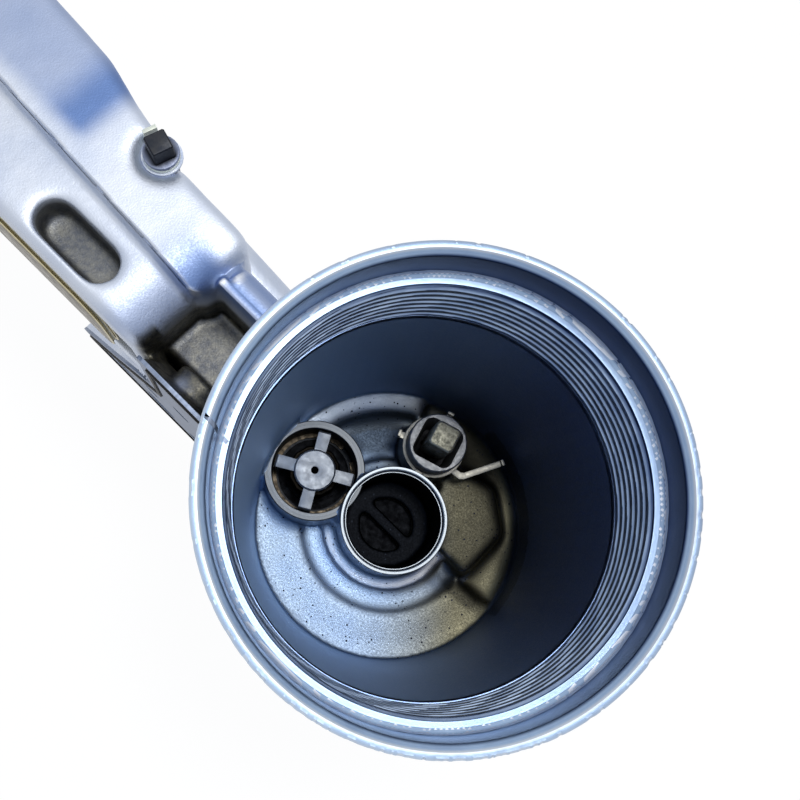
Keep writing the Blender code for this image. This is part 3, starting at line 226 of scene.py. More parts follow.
def blend(tree, share, one, two):
    """A mix of two colours, each a hex value or another node's output."""
    one, two = (tint(colour) if isinstance(colour, str) else colour for colour in (one, two))
    return add(tree, "Mix", {0: share, 6: one, 7: two}, data_type="RGBA").outputs[2]


def bump(tree, height, distance, strength, over=None, **settings):
    """A normal tilted by a height, with its reach in metres, on top of another normal if there is one."""
    sockets = {"Height": height, "Distance": distance, "Strength": strength}
    if over is not None:
        sockets["Normal"] = over
    return add(tree, "Bump", sockets, **settings).outputs[0]


def surface(material, colour, roughness, normal, metallic=1.0):
    """Joins a colour, a roughness and a normal to the material's shader."""
    tree = material.node_tree
    shader = tree.nodes["Principled BSDF"]
    shader.inputs["Metallic"].default_value = metallic
    for socket, value in (("Base Color", colour), ("Roughness", roughness), ("Normal", normal)):
        tree.links.new(value, shader.inputs[socket])


# %% Blasted cast aluminium, outside
cast_outside, tree, place = finish("blasted_cast_aluminium")
cloud = noise(tree, place, 45.0, 3.0, 0.55)
grain = noise(tree, place, 1500.0, 2.0, 0.6)
patch = noise(tree, place, 260.0, 4.0, 0.7)
skin = blend(tree, cloud, "A9B5CC", "CDD3DD")
# Painted shade: darker blue on the deck's near ends, in a band further out and on the web
skin = blend(tree, mark(tree, "shade"), skin, "5A76AA")
skin = blend(tree, mark(tree, "wear_and_highlight"), skin, "E6EAF0")
# One patchy dark colour: olive-brown inside the slot, and painted shade in the pocket and in the gap behind
# the flange
dark_stain_and_shade = blend(tree, mapped(tree, patch, 0.36, 0.64), "1B1A18", "5E5B4C")
skin = blend(tree, mark(tree, "stain_and_shade"), skin, dark_stain_and_shade)
waves = bump(tree, noise(tree, place, 120.0, 2.0), 0.0004, 0.5)
fine = bump(tree, grain, 0.00012, 0.6, waves)
surface(cast_outside, skin, mapped(tree, grain, 0.3, 0.7, 0.44, 0.6), fine)

# %% Oiled cast aluminium, inside the bowl
cast_inside, tree, place = finish("oiled_cast_aluminium")
cloud = noise(tree, place, 50.0, 3.0, 0.55)
grain = noise(tree, place, 1300.0, 2.0, 0.6)
# The floor's tone: cool blue-grey towards its left and drab olive towards its right
cool = blend(tree, cloud, "788DAD", "8C9CAC")
drab = blend(tree, cloud, "4E4D42", "6E6C5A")
skin = blend(tree, mark(tree, "olive_side"), cool, drab)
# Worn edges turn lighter, and the ledge round the tube and the shelf at the wall take a painted highlight
skin = blend(tree, mark(tree, "wear_and_highlight"), skin, "D8DCE4")
# Painted shade: the wall and part of the floor's groove turn dark navy, lighter blue where a painted sky
# reflection falls
wall = mark(tree, "bowl_wall")
wall_shade_and_sky = blend(tree, mark(tree, "sky"), "52648A", "B0D4FF")
skin = blend(tree, wall, skin, wall_shade_and_sky)
# Near black: painted shade in the tube's and the inlet's bores, painted shadow in blots in the lee of the
# valves, and half as dark on the pad
skin = blend(tree, mark(tree, "stain_and_shade"), skin, "0D0F13")
cells = add(tree, "TexVoronoi", {"Vector": place, "Scale": 620.0, "Randomness": 1.0})
pick = add(tree, "SeparateColor", {"Color": cells.outputs["Color"]})
size = mapped(tree, pick.outputs[0], 0.66, 1.0, 0.0, 0.3)
pore = reckon(tree, "LESS_THAN", cells.outputs["Distance"], size)
pore = reckon(tree, "MULTIPLY", pore, reckon(tree, "SUBTRACT", 1.0, wall))
skin = blend(tree, pore, skin, "1C2028")
waves = bump(tree, cloud, 0.0006, 0.4)
pits = bump(tree, pore, 0.0003, 0.6, waves, invert=True)
fine = bump(tree, grain, 0.0001, 0.6, pits)
surface(cast_inside, skin, mapped(tree, grain, 0.3, 0.7, 0.42, 0.58), fine)

# %% [markdown]
# ## Finish: turned and milled aluminium
# Where the cap seals and screws in, the casting is cut on a lathe. The tool leaves fine rings, so light
# runs round the mouth in streaks. The rings are finer than a pixel, so they are drawn 0.25 mm apart.
# The pattern is noise read from the radius and the depth only, which makes every mark a full circle.

# %% Turned aluminium about an axis
def from_axis(tree, place, offset, first, second):
    """The way from an axis, read from two of the three directions, and the three shifted places."""
    shifted = add(tree, "Mapping", {"Vector": place, "Location": offset})
    parts = add(tree, "SeparateXYZ", {"Vector": shifted.outputs[0]}).outputs
    flat = add(tree, "CombineXYZ", {0: parts[first], 1: parts[second]})
    return add(tree, "VectorMath", {0: flat.outputs[0]}, operation="LENGTH").outputs["Value"], parts


def turned_finish(name, axis_x, axis_y, light, dark, roughness):
    """Turned aluminium: noise over (radius, depth) gives circles about an axis through (axis_x, axis_y)."""
    made, tree, place = finish(name)
    radius, parts = from_axis(tree, place, (-axis_x, -axis_y, 0), 0, 1)
    rings = add(tree, "CombineXYZ", {0: radius, 1: parts[2]})
    lines = noise(tree, rings.outputs[0], 3600.0, 3.0, 0.7)
    cloud = noise(tree, place, 60.0, 4.0, 0.6)
    tone = mapped(tree, reckon(tree, "MULTIPLY", lines, cloud), 0.12, 0.38)
    skin = blend(tree, tone, dark, light)
    # Worn edges turn lighter, and the thread's crests on the lit side take a painted highlight
    skin = blend(tree, mark(tree, "wear_and_highlight"), skin, "C8D0DA")
    # Painted shade, navy: in the seal bore, between the thread's teeth, on the side away from the light and
    # on the tube top's inner step
    skin = blend(tree, mark(tree, "stain_and_shade"), skin, "22345C")
    dents = bump(tree, noise(tree, place, 700.0, 2.0), 0.00008, 0.4)
    cut = bump(tree, lines, 0.00005, 0.5, dents)
    surface(made, skin, mapped(tree, cloud, 0.0, 1.0, roughness - 0.06, roughness + 0.1), cut)
    return made


turned_mouth = turned_finish("turned_aluminium_mouth", BOWL_X, BOWL_Y, "AFC6E6", "7088AE", 0.3)
turned_rim = turned_finish("turned_aluminium_rim", BOWL_X, BOWL_Y, "A9C2E0", "8BA3C6", 0.38)
turned_tube = turned_finish("turned_aluminium_tube", BOWL_X, BOWL_Y, "8C959E", "686F78", 0.38)
inlet_x, inlet_y = BOWL[:2] + INLET / 1000
turned_inlet = turned_finish("turned_aluminium_inlet", inlet_x, inlet_y, "6A6F76", "4B5056", 0.44)
print("turned finishes:", turned_mouth.name, turned_inlet.name)

# %% Milled aluminium, on the flange's face: the arcs of one wide cutter
milled, tree, place = finish("milled_aluminium")
radius, parts = from_axis(tree, place, (0.10, 0.0, 0.26), 0, 2)
lines = noise(tree, add(tree, "CombineXYZ", {0: radius}).outputs[0], 1800.0, 2.0)
cloud = noise(tree, place, 70.0, 4.0)
tone = mapped(tree, reckon(tree, "MULTIPLY", lines, cloud), 0.12, 0.38)
skin = blend(tree, tone, "5E6A80", "8490A6")
surface(milled, skin, mapped(tree, cloud, 0.0, 1.0, 0.42, 0.56), bump(tree, lines, 0.00005, 0.5))

# %% [markdown]
# ## Finishes: the small pieces
# The valve parts are pressed and turned steel with a thin zinc plating, which goes cloudy and grey in oil.
# Springs are hardened wire, black with oil. The cooler's plates are stainless sheet brazed with a golden
# filler. The seals are nitrile rubber, matt and nearly black. All of them are one pattern: a cloud that
# moves the colour and the gloss, a fine grain in the bump, and another tone along the edges.

# %% A finish with clouds, grain and worn edges
def small_finish(name, dark, light, roughness, metallic, cloud_mm, grain_mm, depth, edge_colour):
    """Clouds cloud_mm wide mix two colours, grain grain_mm wide dents the surface by depth metres."""
    made, tree, place = finish(name)
    tone = mapped(tree, noise(tree, place, 1000.0 / cloud_mm, 4.0, 0.65), 0.35, 0.65)
    skin = blend(tree, tone, dark, light)
    # Worn edges in another tone, which also stands as a painted highlight
    skin = blend(tree, mark(tree, "wear_and_highlight"), skin, edge_colour)
    # Near black: the plug's black head, and painted shade low on the cage, on the plunger's sides and in the
    # sleeve's mouth
    skin = blend(tree, mark(tree, "stain_and_shade"), skin, "121316")
    gloss = mapped(tree, tone, 0.0, 1.0, roughness + 0.08, roughness - 0.05)
    grain = noise(tree, place, 1000.0 / grain_mm, 3.0)
    surface(made, skin, gloss, bump(tree, grain, depth, 0.5), metallic)
    return made


# Each line is a name, two colours, roughness, metallic, cloud and grain in millimetres, depth, edge colour
zinc_plate = small_finish("zinc_plated_steel", "4A505A", "646B75", 0.5, 1.0, 3.0, 0.6, 0.0001, "8A919B")
zinc_sleeve = small_finish("turned_alloy_sleeve", "3C4046", "62666C", 0.52, 1.0, 1.2, 0.5, 0.00014, "83878D")
zinc_clip = small_finish("dull_zinc_sheet", "484843", "6C6C66", 0.46, 1.0, 2.0, 0.6, 0.00008, "A2A29C")
sintered = small_finish("sintered_steel", "5A5B54", "85867C", 0.52, 1.0, 1.6, 0.5, 0.00014, "9C9D92")
oiled_wire = small_finish("oiled_spring_steel", "191714", "3A352E", 0.34, 1.0, 2.0, 0.4, 0.00003, "8A8378")
oil_black = small_finish("oil_black_steel", "0A0B0E", "16181C", 0.6, 1.0, 3.0, 0.5, 0.00008, "1C2026")
brazed = small_finish("brazed_stainless_sheet", "3C362A", "6E6654", 0.36, 1.0, 6.0, 0.6, 0.00006, "D2C9A8")
nitrile = small_finish("nitrile_rubber", "0C0B0A", "1D1A17", 0.62, 0.0, 5.0, 0.4, 0.00004, "2A2622")
plug_steel = small_finish("light_plug_steel", "A2AEC6", "C6CCD8", 0.5, 1.0, 3.0, 0.5, 0.0001, "5A6480")
coated = small_finish("pale_coated_sheet", "8F9A8C", "C3CCBC", 0.45, 0.2, 2.5, 0.5, 0.00006, "E4EADF")
print("small finishes made")

# %% [markdown]
# ## Skin of the casting
# A mould part has no sharp edge anywhere: sand and die draft leave a radius of one to three millimetres
# and hollows that flow into each other. Rounding that with bevels fails on a body cut by dozens of
# Booleans. Instead the solid is read as a field on a 1.2 mm grid and taken back as an even net, and the
# net is relaxed: each point moves towards the middle of its neighbours, more so on the thick decks.

# %% Take the casting's solid as an even net
def coordinates(mesh):
    """The mesh's points as rows of x, y and z."""
    flat = np.empty(len(mesh.vertices) * 3)
    mesh.vertices.foreach_get("co", flat)
    return flat.reshape(-1, 3)


def merged_copy(node_name, name):
    """A copy of a CAD node's mesh with its loose triangles joined at their shared corners."""
    net = bmesh.new()
    net.from_mesh(frame["nodes"][node_name].data)
    bmesh.ops.remove_doubles(net, verts=net.verts[:], dist=1e-6)
    mesh = bpy.data.meshes.new(name)
    net.to_mesh(mesh)
    net.free()
    return mesh


def even_net(mesh, size):
    """Points and four-cornered faces of a closed mesh after a voxel remesh."""
    holder = placed("net", mesh)
    remesh = holder.modifiers.new("remesh", "REMESH")
    remesh.mode = "VOXEL"
    remesh.voxel_size = size
    graph = bpy.context.evaluated_depsgraph_get()
    made = bpy.data.meshes.new_from_object(holder.evaluated_get(graph))
    points = coordinates(made)
    corners = np.empty(len(made.loops), dtype=np.int64)
    made.loops.foreach_get("vertex_index", corners)
    bpy.data.objects.remove(holder)
    bpy.data.meshes.remove(made)
    return points, corners.reshape(-1, 4)


FINE_NET = 0.0012
NET_SIZE = FINE_NET
casting_mesh = merged_copy("housing", "casting_solid")
points, quads = even_net(casting_mesh, NET_SIZE)
print("net:", len(points), "points,", len(quads), "faces")

# %% Means over neighbours, and two short names for ranges
pairs = np.concatenate([quads[:, [k, (k + 1) % 4]] for k in range(4)])
pairs = np.unique(np.sort(pairs, axis=1), axis=0)
degree = np.bincount(pairs.ravel(), minlength=len(points)).astype(float)


def around(values):
    """For each point, the mean of a value over the points it shares an edge with."""
    flat = values.reshape(len(points), -1)
    total = np.empty_like(flat)
    for k in range(flat.shape[1]):
        total[:, k] = np.bincount(pairs[:, 0], flat[pairs[:, 1], k], len(points))
        total[:, k] += np.bincount(pairs[:, 1], flat[pairs[:, 0], k], len(points))
    return (total / degree[:, None]).reshape(values.shape)


def relax(points, share, passes):
    """In each pass a point goes its share of the way to the middle of its neighbours."""
    for _ in range(passes):
        points += share * (around(points) - points)


def span(value, low, high):
    """A smooth step from 0 at low to 1 at high: t * t * (3 - 2 * t) of the clamped share."""
    t = np.clip((value - low) / (high - low), 0, 1)
    return t * t * (3 - 2 * t)


def between(value, low, high):
    """True above low and below high."""
    return (value > low) & (value < high)


def away_from(centre, x, y):
    """How far places lie from an upright axis."""
    return np.hypot(x - centre[0], y - centre[1])


# %% Measures of the arm and the floor, in millimetres about the bowl's axis
# Heights are counted from the rim's plane, so all of them are below zero
UPPER_DECK = -27.0
LOWER_DECK = -36.0
RIB_TOP = -27.9
FLOOR_STEP = -192

# Both decks start some way from the axis and roll down over so many millimetres, the lower one by more
UPPER_START, UPPER_ROLL = 99, 18
LOWER_START, LOWER_ROLL = 102.5, 20
LOWER_DROP = 9

# The step between the decks: its line along the arm, its face's two edges across, its corner's width
STEP_SIDE = 9.8
STEP_SLANT = 6.8 / 129
STEP_FOOT, STEP_TOP = -0.9, 0.35
CORNER = 1.3

# How many times the net is relaxed on the decks, on the floor and all over
DECK_PASSES, FLOOR_PASSES, EVEN_PASSES = 14, 34, 3

# far runs along the arm, side across it, and past_step is the way past the step to the upper deck
local = (points - BOWL) * 1000
start = local.copy()
far, side, height = -local[:, 0], local[:, 1], local[:, 2]
past_step = side + STEP_SIDE - (far - UPPER_START) * STEP_SLANT
on_arm = span(far, 99.5, 101.5) * span(far, 230, 226)

# %% Shape the net where the photograph shows more than the solid has
# The step's upper edge is crisp, so the solid's rolled edge is drawn out to a narrow corner
roll = between(past_step, STEP_TOP, 5.5) & between(height, -31.8, -26)
crisp = UPPER_DECK - np.maximum(CORNER - past_step, 0) ** 2 / (2 * CORNER)
height = height + np.where(roll, on_arm * (crisp - height), 0)
face = (past_step > STEP_FOOT) & (past_step <= STEP_TOP) & between(height, -36.2, -31)
lift = np.clip((height - LOWER_DECK) * 0.9, 0, UPPER_DECK - 0.4 - height)
height = height + np.where(face, on_arm * lift, 0)

# Both decks roll down towards their near ends: the drop grows with the square of the way to the edge
upper = (span(side, 4, -3) * 5 + 2) * np.clip(1 - (far - UPPER_START) / UPPER_ROLL, 0, 1) ** 2
upper = upper * span(height, -60, -31.5)
lower = LOWER_DROP * np.clip(1 - (far - LOWER_START) / LOWER_ROLL, 0, 1) ** 2
lower = lower * span(height, -66, -39)
share = np.clip((height - LOWER_DECK) / 8.5, 0, 1)
drop = np.where(past_step < STEP_FOOT, lower, lower + (upper - lower) * share)
drop = np.where(past_step > STEP_TOP, upper, drop)
height = height - np.where((far > 98.5) & (height > -66), drop, 0)

# The web lies level with the rib's top
web = span(side, 9.5, 3.5) * span(side, 0.3, 1.0) * span(far, 97.5, 95) * (height > -33) * (far > 71)
height = height + web * np.clip(RIB_TOP - height, 0, 4)

# The floor's recess is drawn half as deep on its open side, where its flanks run out softly
bearing = np.degrees(np.arctan2(side, -far))
reach = np.hypot(far, side)
open_side = span(bearing, -142, -126) * span(bearing, 4, -14) * between(reach, 24, 62) * (height > -198.5)
height = height + 0.5 * open_side * np.clip(FLOOR_STEP - height, 0, 5.5)
points[:, 2] = RIM_Z + height / 1000

# %% Relax it: free decks most, the step and the rib least, the floor's steps over three millimetres
deck = span(far, 98, 101) * span(height, -56, -48) * (1 - span(np.abs(past_step), 4.5, 2.0) * on_arm)
ground = span(-height, 183, 186.5) * (-height < 200) * span(reach, 23.6, 25.2) * span(reach, 62.3, 60.8)
ground = ground * span(away_from(INLET, local[:, 0], side), 23.2, 24.6)
ground = ground * span(away_from(DRAIN, local[:, 0], side), 15.2, 16.6)
ground = ground * (0.22 + 0.78 * span(reach, 31.5, 36))
scale = (FINE_NET / NET_SIZE) ** 2
relax(points, 0.5 * deck[:, None], int(round(DECK_PASSES * scale)))
relax(points, 0.5 * ground[:, None], int(round(FLOOR_PASSES * scale)))
for _ in range(EVEN_PASSES):
    relax(points, 0.5, 1)
    relax(points, -0.52, 1)
print("points moved by up to", round(float(np.abs((points - BOWL) * 1000 - start).max()), 2), "mm")

# %% Normals and curvature of the relaxed net
def point_normals(points, quads):
    """Each face's area vector is half the cross product of its diagonals; a point sums those round it."""
    across = np.cross(points[quads[:, 2]] - points[quads[:, 0]], points[quads[:, 3]] - points[quads[:, 1]])
    normals = np.zeros_like(points)
    for k in range(4):
        for axis in range(3):
            normals[:, axis] += np.bincount(quads[:, k], across[:, axis], len(points))
    return normals / np.maximum(np.linalg.norm(normals, axis=1, keepdims=True), 1e-12)


normals = point_normals(points, quads)
local = (points - BOWL) * 1000
x, y, depth = local[:, 0], local[:, 1], -local[:, 2]
radius = np.hypot(x, y)
bend = np.einsum("ij,ij->i", points - around(points), normals) / NET_SIZE
for _ in range(2):
    bend = around(bend)
print("bend from", round(float(bend.min()), 3), "to", round(float(bend.max()), 3))

# %% Areas that the marks are made from
def blot(centre_x, centre_y, wide, high, tilt):
    """1 in the middle of a soft ellipse and 0 outside it."""
    turn = math.radians(tilt)
    one = (x - centre_x) * math.cos(turn) + (y - centre_y) * math.sin(turn)
    two = (y - centre_y) * math.cos(turn) - (x - centre_x) * math.sin(turn)
    return span(np.hypot(one / wide, two / high), 1.25, 0.55)


# Outside: the way from the slot's middle line, the pocket between arm, flange and bowl with the duct
# block's top in it, and the gap behind the flange, where one spot stays lighter
slot = np.hypot(np.maximum(np.abs(x + 141.8) - 10, 0), y + 23)
pocket = span(depth, 44, 52) * span(x, -107, -104) * (x < -60) * between(y, -35.4, -1.2)
pocket = pocket * (radius > 66.5) * (depth < 150)
block_top = pocket * span(np.abs(depth - 65), 1.6, 0.8) * (y > -25.5) * (normals[:, 2] > 0.7)
gap = span(x, -107, -104) * (x < -58) * between(y, -36.6, -24) * (radius > 76)
gap = gap * span(depth, 33.5, 34.6) * (depth < 85)
light_spot = np.exp(-((x + 85) ** 2 + (y + 31.5) ** 2) / 7)

# Inside: the floor without the drain valve, its higher pad on the right, the shelf at the wall, the
# ledge round the tube and the groove outside it; rightward is the way to the photograph's right
inside = (radius < 66) & (depth > 150)
floor_part = inside & (depth > 170) & (away_from(DRAIN, x, y) > 14)
on_pad = floor_part * span(depth, 188.6, 187.4) * (x > 4) * (y > 2) * (radius > 25)
shelf = inside * span(radius, 51.5, 53) * (x < 0) * (y > 0) * between(depth, 185, 190.5)
ledge = inside * span(radius, 25.0, 26.2) * span(radius, 32.2, 30.6) * (depth > 189)
ledge = ledge * span(0.8 * x - y, -2, 12)
groove = floor_part * span(depth, 192.6, 195.5) * (radius < 46)
rightward = 0.71 * x + 0.70 * y

# Painted shadow lies in blots in the lee of the valves and along the floor's right edge
dark = np.maximum.reduce([
    blot(-33, 27, 21, 11, 45), blot(-10, 32, 16, 15, 0), blot(12, 52, 22, 10, -12),
    0.85 * blot(46, 2, 17, 5.5, 0), 0.6 * blot(52, 33, 9, 17, 35),
])
dark = dark * span(depth, 186.5, 189.5) * floor_part

# %% Where edges wear and take painted highlight, where stains and painted shade lie, where the floor turns olive, and the painted sheen
# Convex edges wear lighter; the ledge round the tube and the shelf at the wall take a painted highlight
wear_and_highlight = np.maximum(span(bend, 0.03, 0.16), 0.6 * ledge + 0.25 * shelf)
# In turn: olive-brown inside the slot; painted shade in the pocket, in the gap behind the flange and in the
# tube's and the inlet's bores; painted shadow in the blots; and half as dark on the pad
stain_and_shade = np.maximum.reduce([
    0.8 * span(depth, 37.5, 41) * span(slot, 8.8, 7.4) * (depth < 58),
    0.95 * pocket - 0.13 * block_top,
    gap * (0.94 - 0.4 * light_spot),
    inside * span(radius, 22.8, 22.3) * span(depth, 162.4, 164.5),
    0.95 * inside * span(away_from(INLET, x, y), 20.0, 19.4) * span(depth, 166.5, 168),
    0.82 * dark,
    0.5 * on_pad,
])
# The floor is drab olive towards its right, less so on the shelf, and cool blue-grey towards its left
olive_side = inside * span(rightward, -22, 34) * (depth > 170) * (1 - 0.3 * shelf)
# Painted shade: the wall turns dark navy, and part of the floor's groove too
bowl_wall = span(np.abs(normals[:, 2]), 0.85, 0.35) * (radius < 66.2) * span(radius, 60.5, 62.0)
bowl_wall = np.maximum(bowl_wall * (depth > 50), 0.4 * groove * span(radius, 31.5, 34.5))
# Painted sky reflection: the wall's navy turns lighter blue towards the left
sky = np.clip(0.45 - 0.55 * rightward / 64, 0, 1)

# Painted shade on the upper deck has two parts, at its near end and in a band further out, and the web has
# a third
near_end = span(far, 125, 104) * span(side, 10, 0)
far_band = (0.95 * span(far, 157, 167) - 0.5 * span(far, 170, 184)) * span(side, -4, 4)
shade = np.where(far < 140, 0.9, 1.0) * np.clip(np.maximum(near_end, far_band), 0, 1)
shade = np.maximum(shade, 0.72 * between(x, -99, -68) * (y > 1.4)) * span(depth, 50, 30) * (radius > 74)
print("points with wear:", int((wear_and_highlight > 0.5).sum()), "on the wall:", int((bowl_wall > 0.5).sum()))

# %% Part of the net as an object
def set_mark(mesh, name, values):
    """Gives each point of the mesh a value under this name."""
    mesh.attributes.new(name, "FLOAT", "POINT").data.foreach_set("value", values.astype(np.float32))


def piece(name, points, faces, material, normals=None, marks=None):
    """An object from arrays: points, faces of three or four corners, and one value per point for each
    mark."""
    mesh = bpy.data.meshes.new(name)
    count = faces.shape[1]
    mesh.vertices.add(len(points))
    mesh.vertices.foreach_set("co", points.astype(np.float32).ravel())
    mesh.loops.add(faces.size)
    mesh.loops.foreach_set("vertex_index", faces.astype(np.int32).ravel())
    mesh.polygons.add(len(faces))
    mesh.polygons.foreach_set("loop_start", np.arange(0, faces.size, count, dtype=np.int32))
    mesh.update(calc_edges=True)
    mesh.shade_smooth()
    if normals is not None:
        mesh.normals_split_custom_set_from_vertices(normals.tolist())
    for mark_name, values in (marks or {}).items():
        set_mark(mesh, mark_name, values)
    mesh.materials.append(material)
    return placed(name, mesh)


def part_of_net(name, keep, material):
    """The faces chosen by keep, with only the points they use."""
    faces = quads[keep]
    used, index = np.unique(faces, return_inverse=True)
    marks = {"wear_and_highlight": wear_and_highlight[used], "bowl_wall": bowl_wall[used], "stain_and_shade": stain_and_shade[used],
             "olive_side": olive_side[used], "shade": shade[used], "sky": sky[used]}
    made = piece(name, points[used], index.reshape(-1, 4), material, normals[used], marks)
    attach(made, "base")
    print(name, "faces:", len(faces))
    return made


# %% Split the net: inside of the bowl, arm, outside of the bowl
# The mouth is left out, because a finer grid takes its place, and so is the flange's milled face
ARM_START = -74
FLANGE_PLANE = -35.8
middle = local[quads].mean(axis=1)
face_radius = np.hypot(middle[:, 0], middle[:, 1])
face_depth = -middle[:, 2]
mouth = ((face_radius < 82) & (face_depth < 16.2)) | ((face_radius < 69.4) & (face_depth < 57.0))
flange_skin = (np.abs(middle[:, 1] - FLANGE_PLANE) < 0.9) & (middle[:, 0] < -57.6) & (face_depth > 34)
wall_radius = 67.7 - 0.023 * (face_depth - 57)
inner = ~mouth & (face_radius < wall_radius) & (face_depth < 200.5) & (face_depth > 50)
arm_side = ~mouth & ~inner & ~flange_skin & (middle[:, 0] < ARM_START)
bowl_side = ~mouth & ~inner & ~flange_skin & ~arm_side
part_of_net("bowl_inside_skin", inner, cast_inside)
part_of_net("arm_skin", arm_side, cast_outside)
casting_bowl = part_of_net("bowl_outside_skin", bowl_side, cast_outside)
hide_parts("housing")

# %% [markdown]
# ## The mouth: rim, seal bore and thread
# The cap screws into a coarse inner thread below a smooth bore for its seal ring. A Screw modifier could
# turn one tooth round, but the thread must fade in and out of its band. So thread and rim are each one
# grid: angle one way, the profile's length the other. In the thread's band the radius follows its phase.

# %% Closed grids from two parameters
def grid_faces(rows, columns):
    """Four-cornered faces that join each grid point with the next one along both parameters, and the last
    ones with the first."""
    index = np.arange(rows * columns).reshape(rows, columns)
    index = np.concatenate([index, index[:1]], axis=0)
    index = np.concatenate([index, index[:, :1]], axis=1)
    corners = [index[:-1, :-1], index[1:, :-1], index[1:, 1:], index[:-1, 1:]]
    return np.stack(corners, axis=-1).reshape(-1, 4)


def along(profile, spacing):
    """Points every so many millimetres along a broken line, each corner kept."""
    made = []
    for one, two in zip(profile[:-1], profile[1:]):
        one, two = np.array(one, float), np.array(two, float)
        count = max(1, int(math.ceil(np.linalg.norm(two - one) / spacing)))
        made.append(one + (two - one) * (np.arange(count) / count)[:, None])
    made.append(np.array(profile[-1:], float))
    return np.concatenate(made)


def carried_round(profile, steps):
    """The angle, radius and depth of every grid point when a profile of (radius, depth) goes round."""
    angles = np.linspace(0, 2 * math.pi, steps, endpoint=False)
    angle, radius = np.meshgrid(angles, profile[:, 0], indexing="ij")
    return angle, radius, np.broadcast_to(profile[:, 1], angle.shape)


def on_axis(angle, radius, depth, centre=(0.0, 0.0)):
    """Points in the frame from an angle, a radius and a depth in millimetres about an upright axis."""
    x = BOWL_X + (centre[0] + radius * np.cos(angle)) / 1000
    y = BOWL_Y + (centre[1] + radius * np.sin(angle)) / 1000
    return np.stack([x, y, RIM_Z - depth / 1000 + 0 * x], axis=-1).reshape(-1, 3)


def outward(made, sharp_degrees):
    """Turns the faces of a closed piece outwards, and keeps edges sharper than this angle crisp."""
    net = bmesh.new()
    net.from_mesh(made.data)
    bmesh.ops.recalc_face_normals(net, faces=net.faces[:])
    net.to_mesh(made.data)
    net.free()
    made.data.set_sharp_from_angle(angle=math.radians(sharp_degrees))


# %% The thread, and the wall behind it that closes the piece
ROOT = 67.2
CREST = 65.9
PITCH = 5.0
THREAD_TOP = 19.4
THREAD_FOOT = 54.8
# The side that takes the most painted shade
SHADED_SIDE = math.radians(75)


def thread_radius(angle, depth):
    """The root radius less the tooth's height. The tooth follows the phase depth / pitch - angle / 2 pi:
    flat root, sloped flank, flat crest, sloped flank; it fades out over 2 mm at both ends of the band."""
    phase = (depth / PITCH - angle / (2 * math.pi)) % 1.0
    tooth = span(phase, 0.16, 0.30) * span(phase, 0.94, 0.80)
    fade = span(depth, THREAD_TOP + 0.6, THREAD_TOP + 2.4)
    fade = fade * span(depth, THREAD_FOOT - 0.1, THREAD_FOOT - 1.2)
    return ROOT - (ROOT - CREST) * tooth * fade


band = along([(ROOT, THREAD_TOP + 0.3), (ROOT, THREAD_FOOT)], 0.22)
closing = along([
    (CREST - 0.1, THREAD_FOOT + 0.15), (65.72, 56.0), (65.62, 57.6), (67.9, 57.6), (69.6, 56.0),
    (69.6, 22.0), (68.0, 19.75),
], 4.0)
angle, radius, depth = carried_round(np.concatenate([band, closing]), 360)
in_band = np.arange(angle.shape[1]) < len(band)
radius = np.where(in_band, thread_radius(angle, depth), radius)
tooth_share = span(ROOT - radius, 0.2, 1.2) * in_band
# Painted shade: darker between the teeth and on the side away from the light, with a painted highlight on
# the lit side's crests
away = span(np.cos(angle - SHADED_SIDE), -0.5, 0.9)
thread_shade = (0.4 + 0.5 * away) * (1 - tooth_share) + 0.25 * away * tooth_share
thread_shade = np.where(in_band, thread_shade, 0.7)
marks = {"wear_and_highlight": (0.2 * tooth_share * (1 - away)).ravel(), "stain_and_shade": thread_shade.ravel()}
faces = grid_faces(*angle.shape)
thread = piece("mouth_thread", on_axis(angle, radius, depth), faces, turned_mouth, marks=marks)
outward(thread, 50)
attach(thread, "base")
print("thread turns:", round((THREAD_FOOT - THREAD_TOP) / PITCH, 1), "faces:", len(faces))

# %% The rim with its nicks: each dent takes a little off the outer edge, in and down
RIM_RADIUS = 75
NICKS = 90
chance = np.random.default_rng(7)
profile = along([
    (67.0, 19.42), (70.3, 19.4), (70.5, 19.2), (70.5, 2.2), (70.6, 2.0), (72.45, 0.12), (72.6, 0.0),
    (74.2, 0.0), (74.75, 0.25), (75.0, 0.85), (75.0, 13.9), (74.8, 14.3), (72.05, 17.0), (71.2, 17.6),
    (68.2, 19.9),
], 1.1)
angle, radius, depth = carried_round(profile, 900)
dents = np.zeros_like(angle[:, 0])
for k in range(NICKS):
    spot = chance.normal(-0.7, 1.1) if k % 3 else chance.uniform(0, 2 * math.pi)
    half = chance.uniform(0.25, 1.3) / RIM_RADIUS
    apart = np.abs((angle[:, 0] - spot + math.pi) % (2 * math.pi) - math.pi)
    dents = np.maximum(dents, chance.uniform(0.15, 0.6) * np.clip(1 - apart / half, 0, 1) ** 0.5)
dents = dents[:, None]
edge_share = np.exp(-((radius - 74.8) ** 2) / 0.35) * np.exp(-((depth - 0.3) ** 2) / 0.5)
radius = radius - dents * edge_share
depth = depth + 0.6 * dents * edge_share
inner_edge = np.exp(-((radius - 72.5) ** 2) / 0.08) * (depth < 0.5)
rim_wear = np.maximum(edge_share * (0.6 + dents), inner_edge)
# Painted shade: the seal bore and the side away from the light turn darker navy
in_bore = (np.abs(radius - 70.5) < 0.3) * between(depth, 1.9, 19.3)
away = span(np.cos(angle - SHADED_SIDE), -0.6, 0.8)
rim_shade = np.maximum((0.5 + 0.45 * away) * in_bore, 0.28 * away)
marks = {"wear_and_highlight": np.clip(rim_wear, 0, 1).ravel(), "stain_and_shade": rim_shade.ravel()}
faces = grid_faces(*angle.shape)
rim = piece("rim_and_seal_bore", on_axis(angle, radius, depth), faces, turned_rim, marks=marks)
outward(rim, 28)
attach(rim, "base")
print("rim faces:", len(faces))

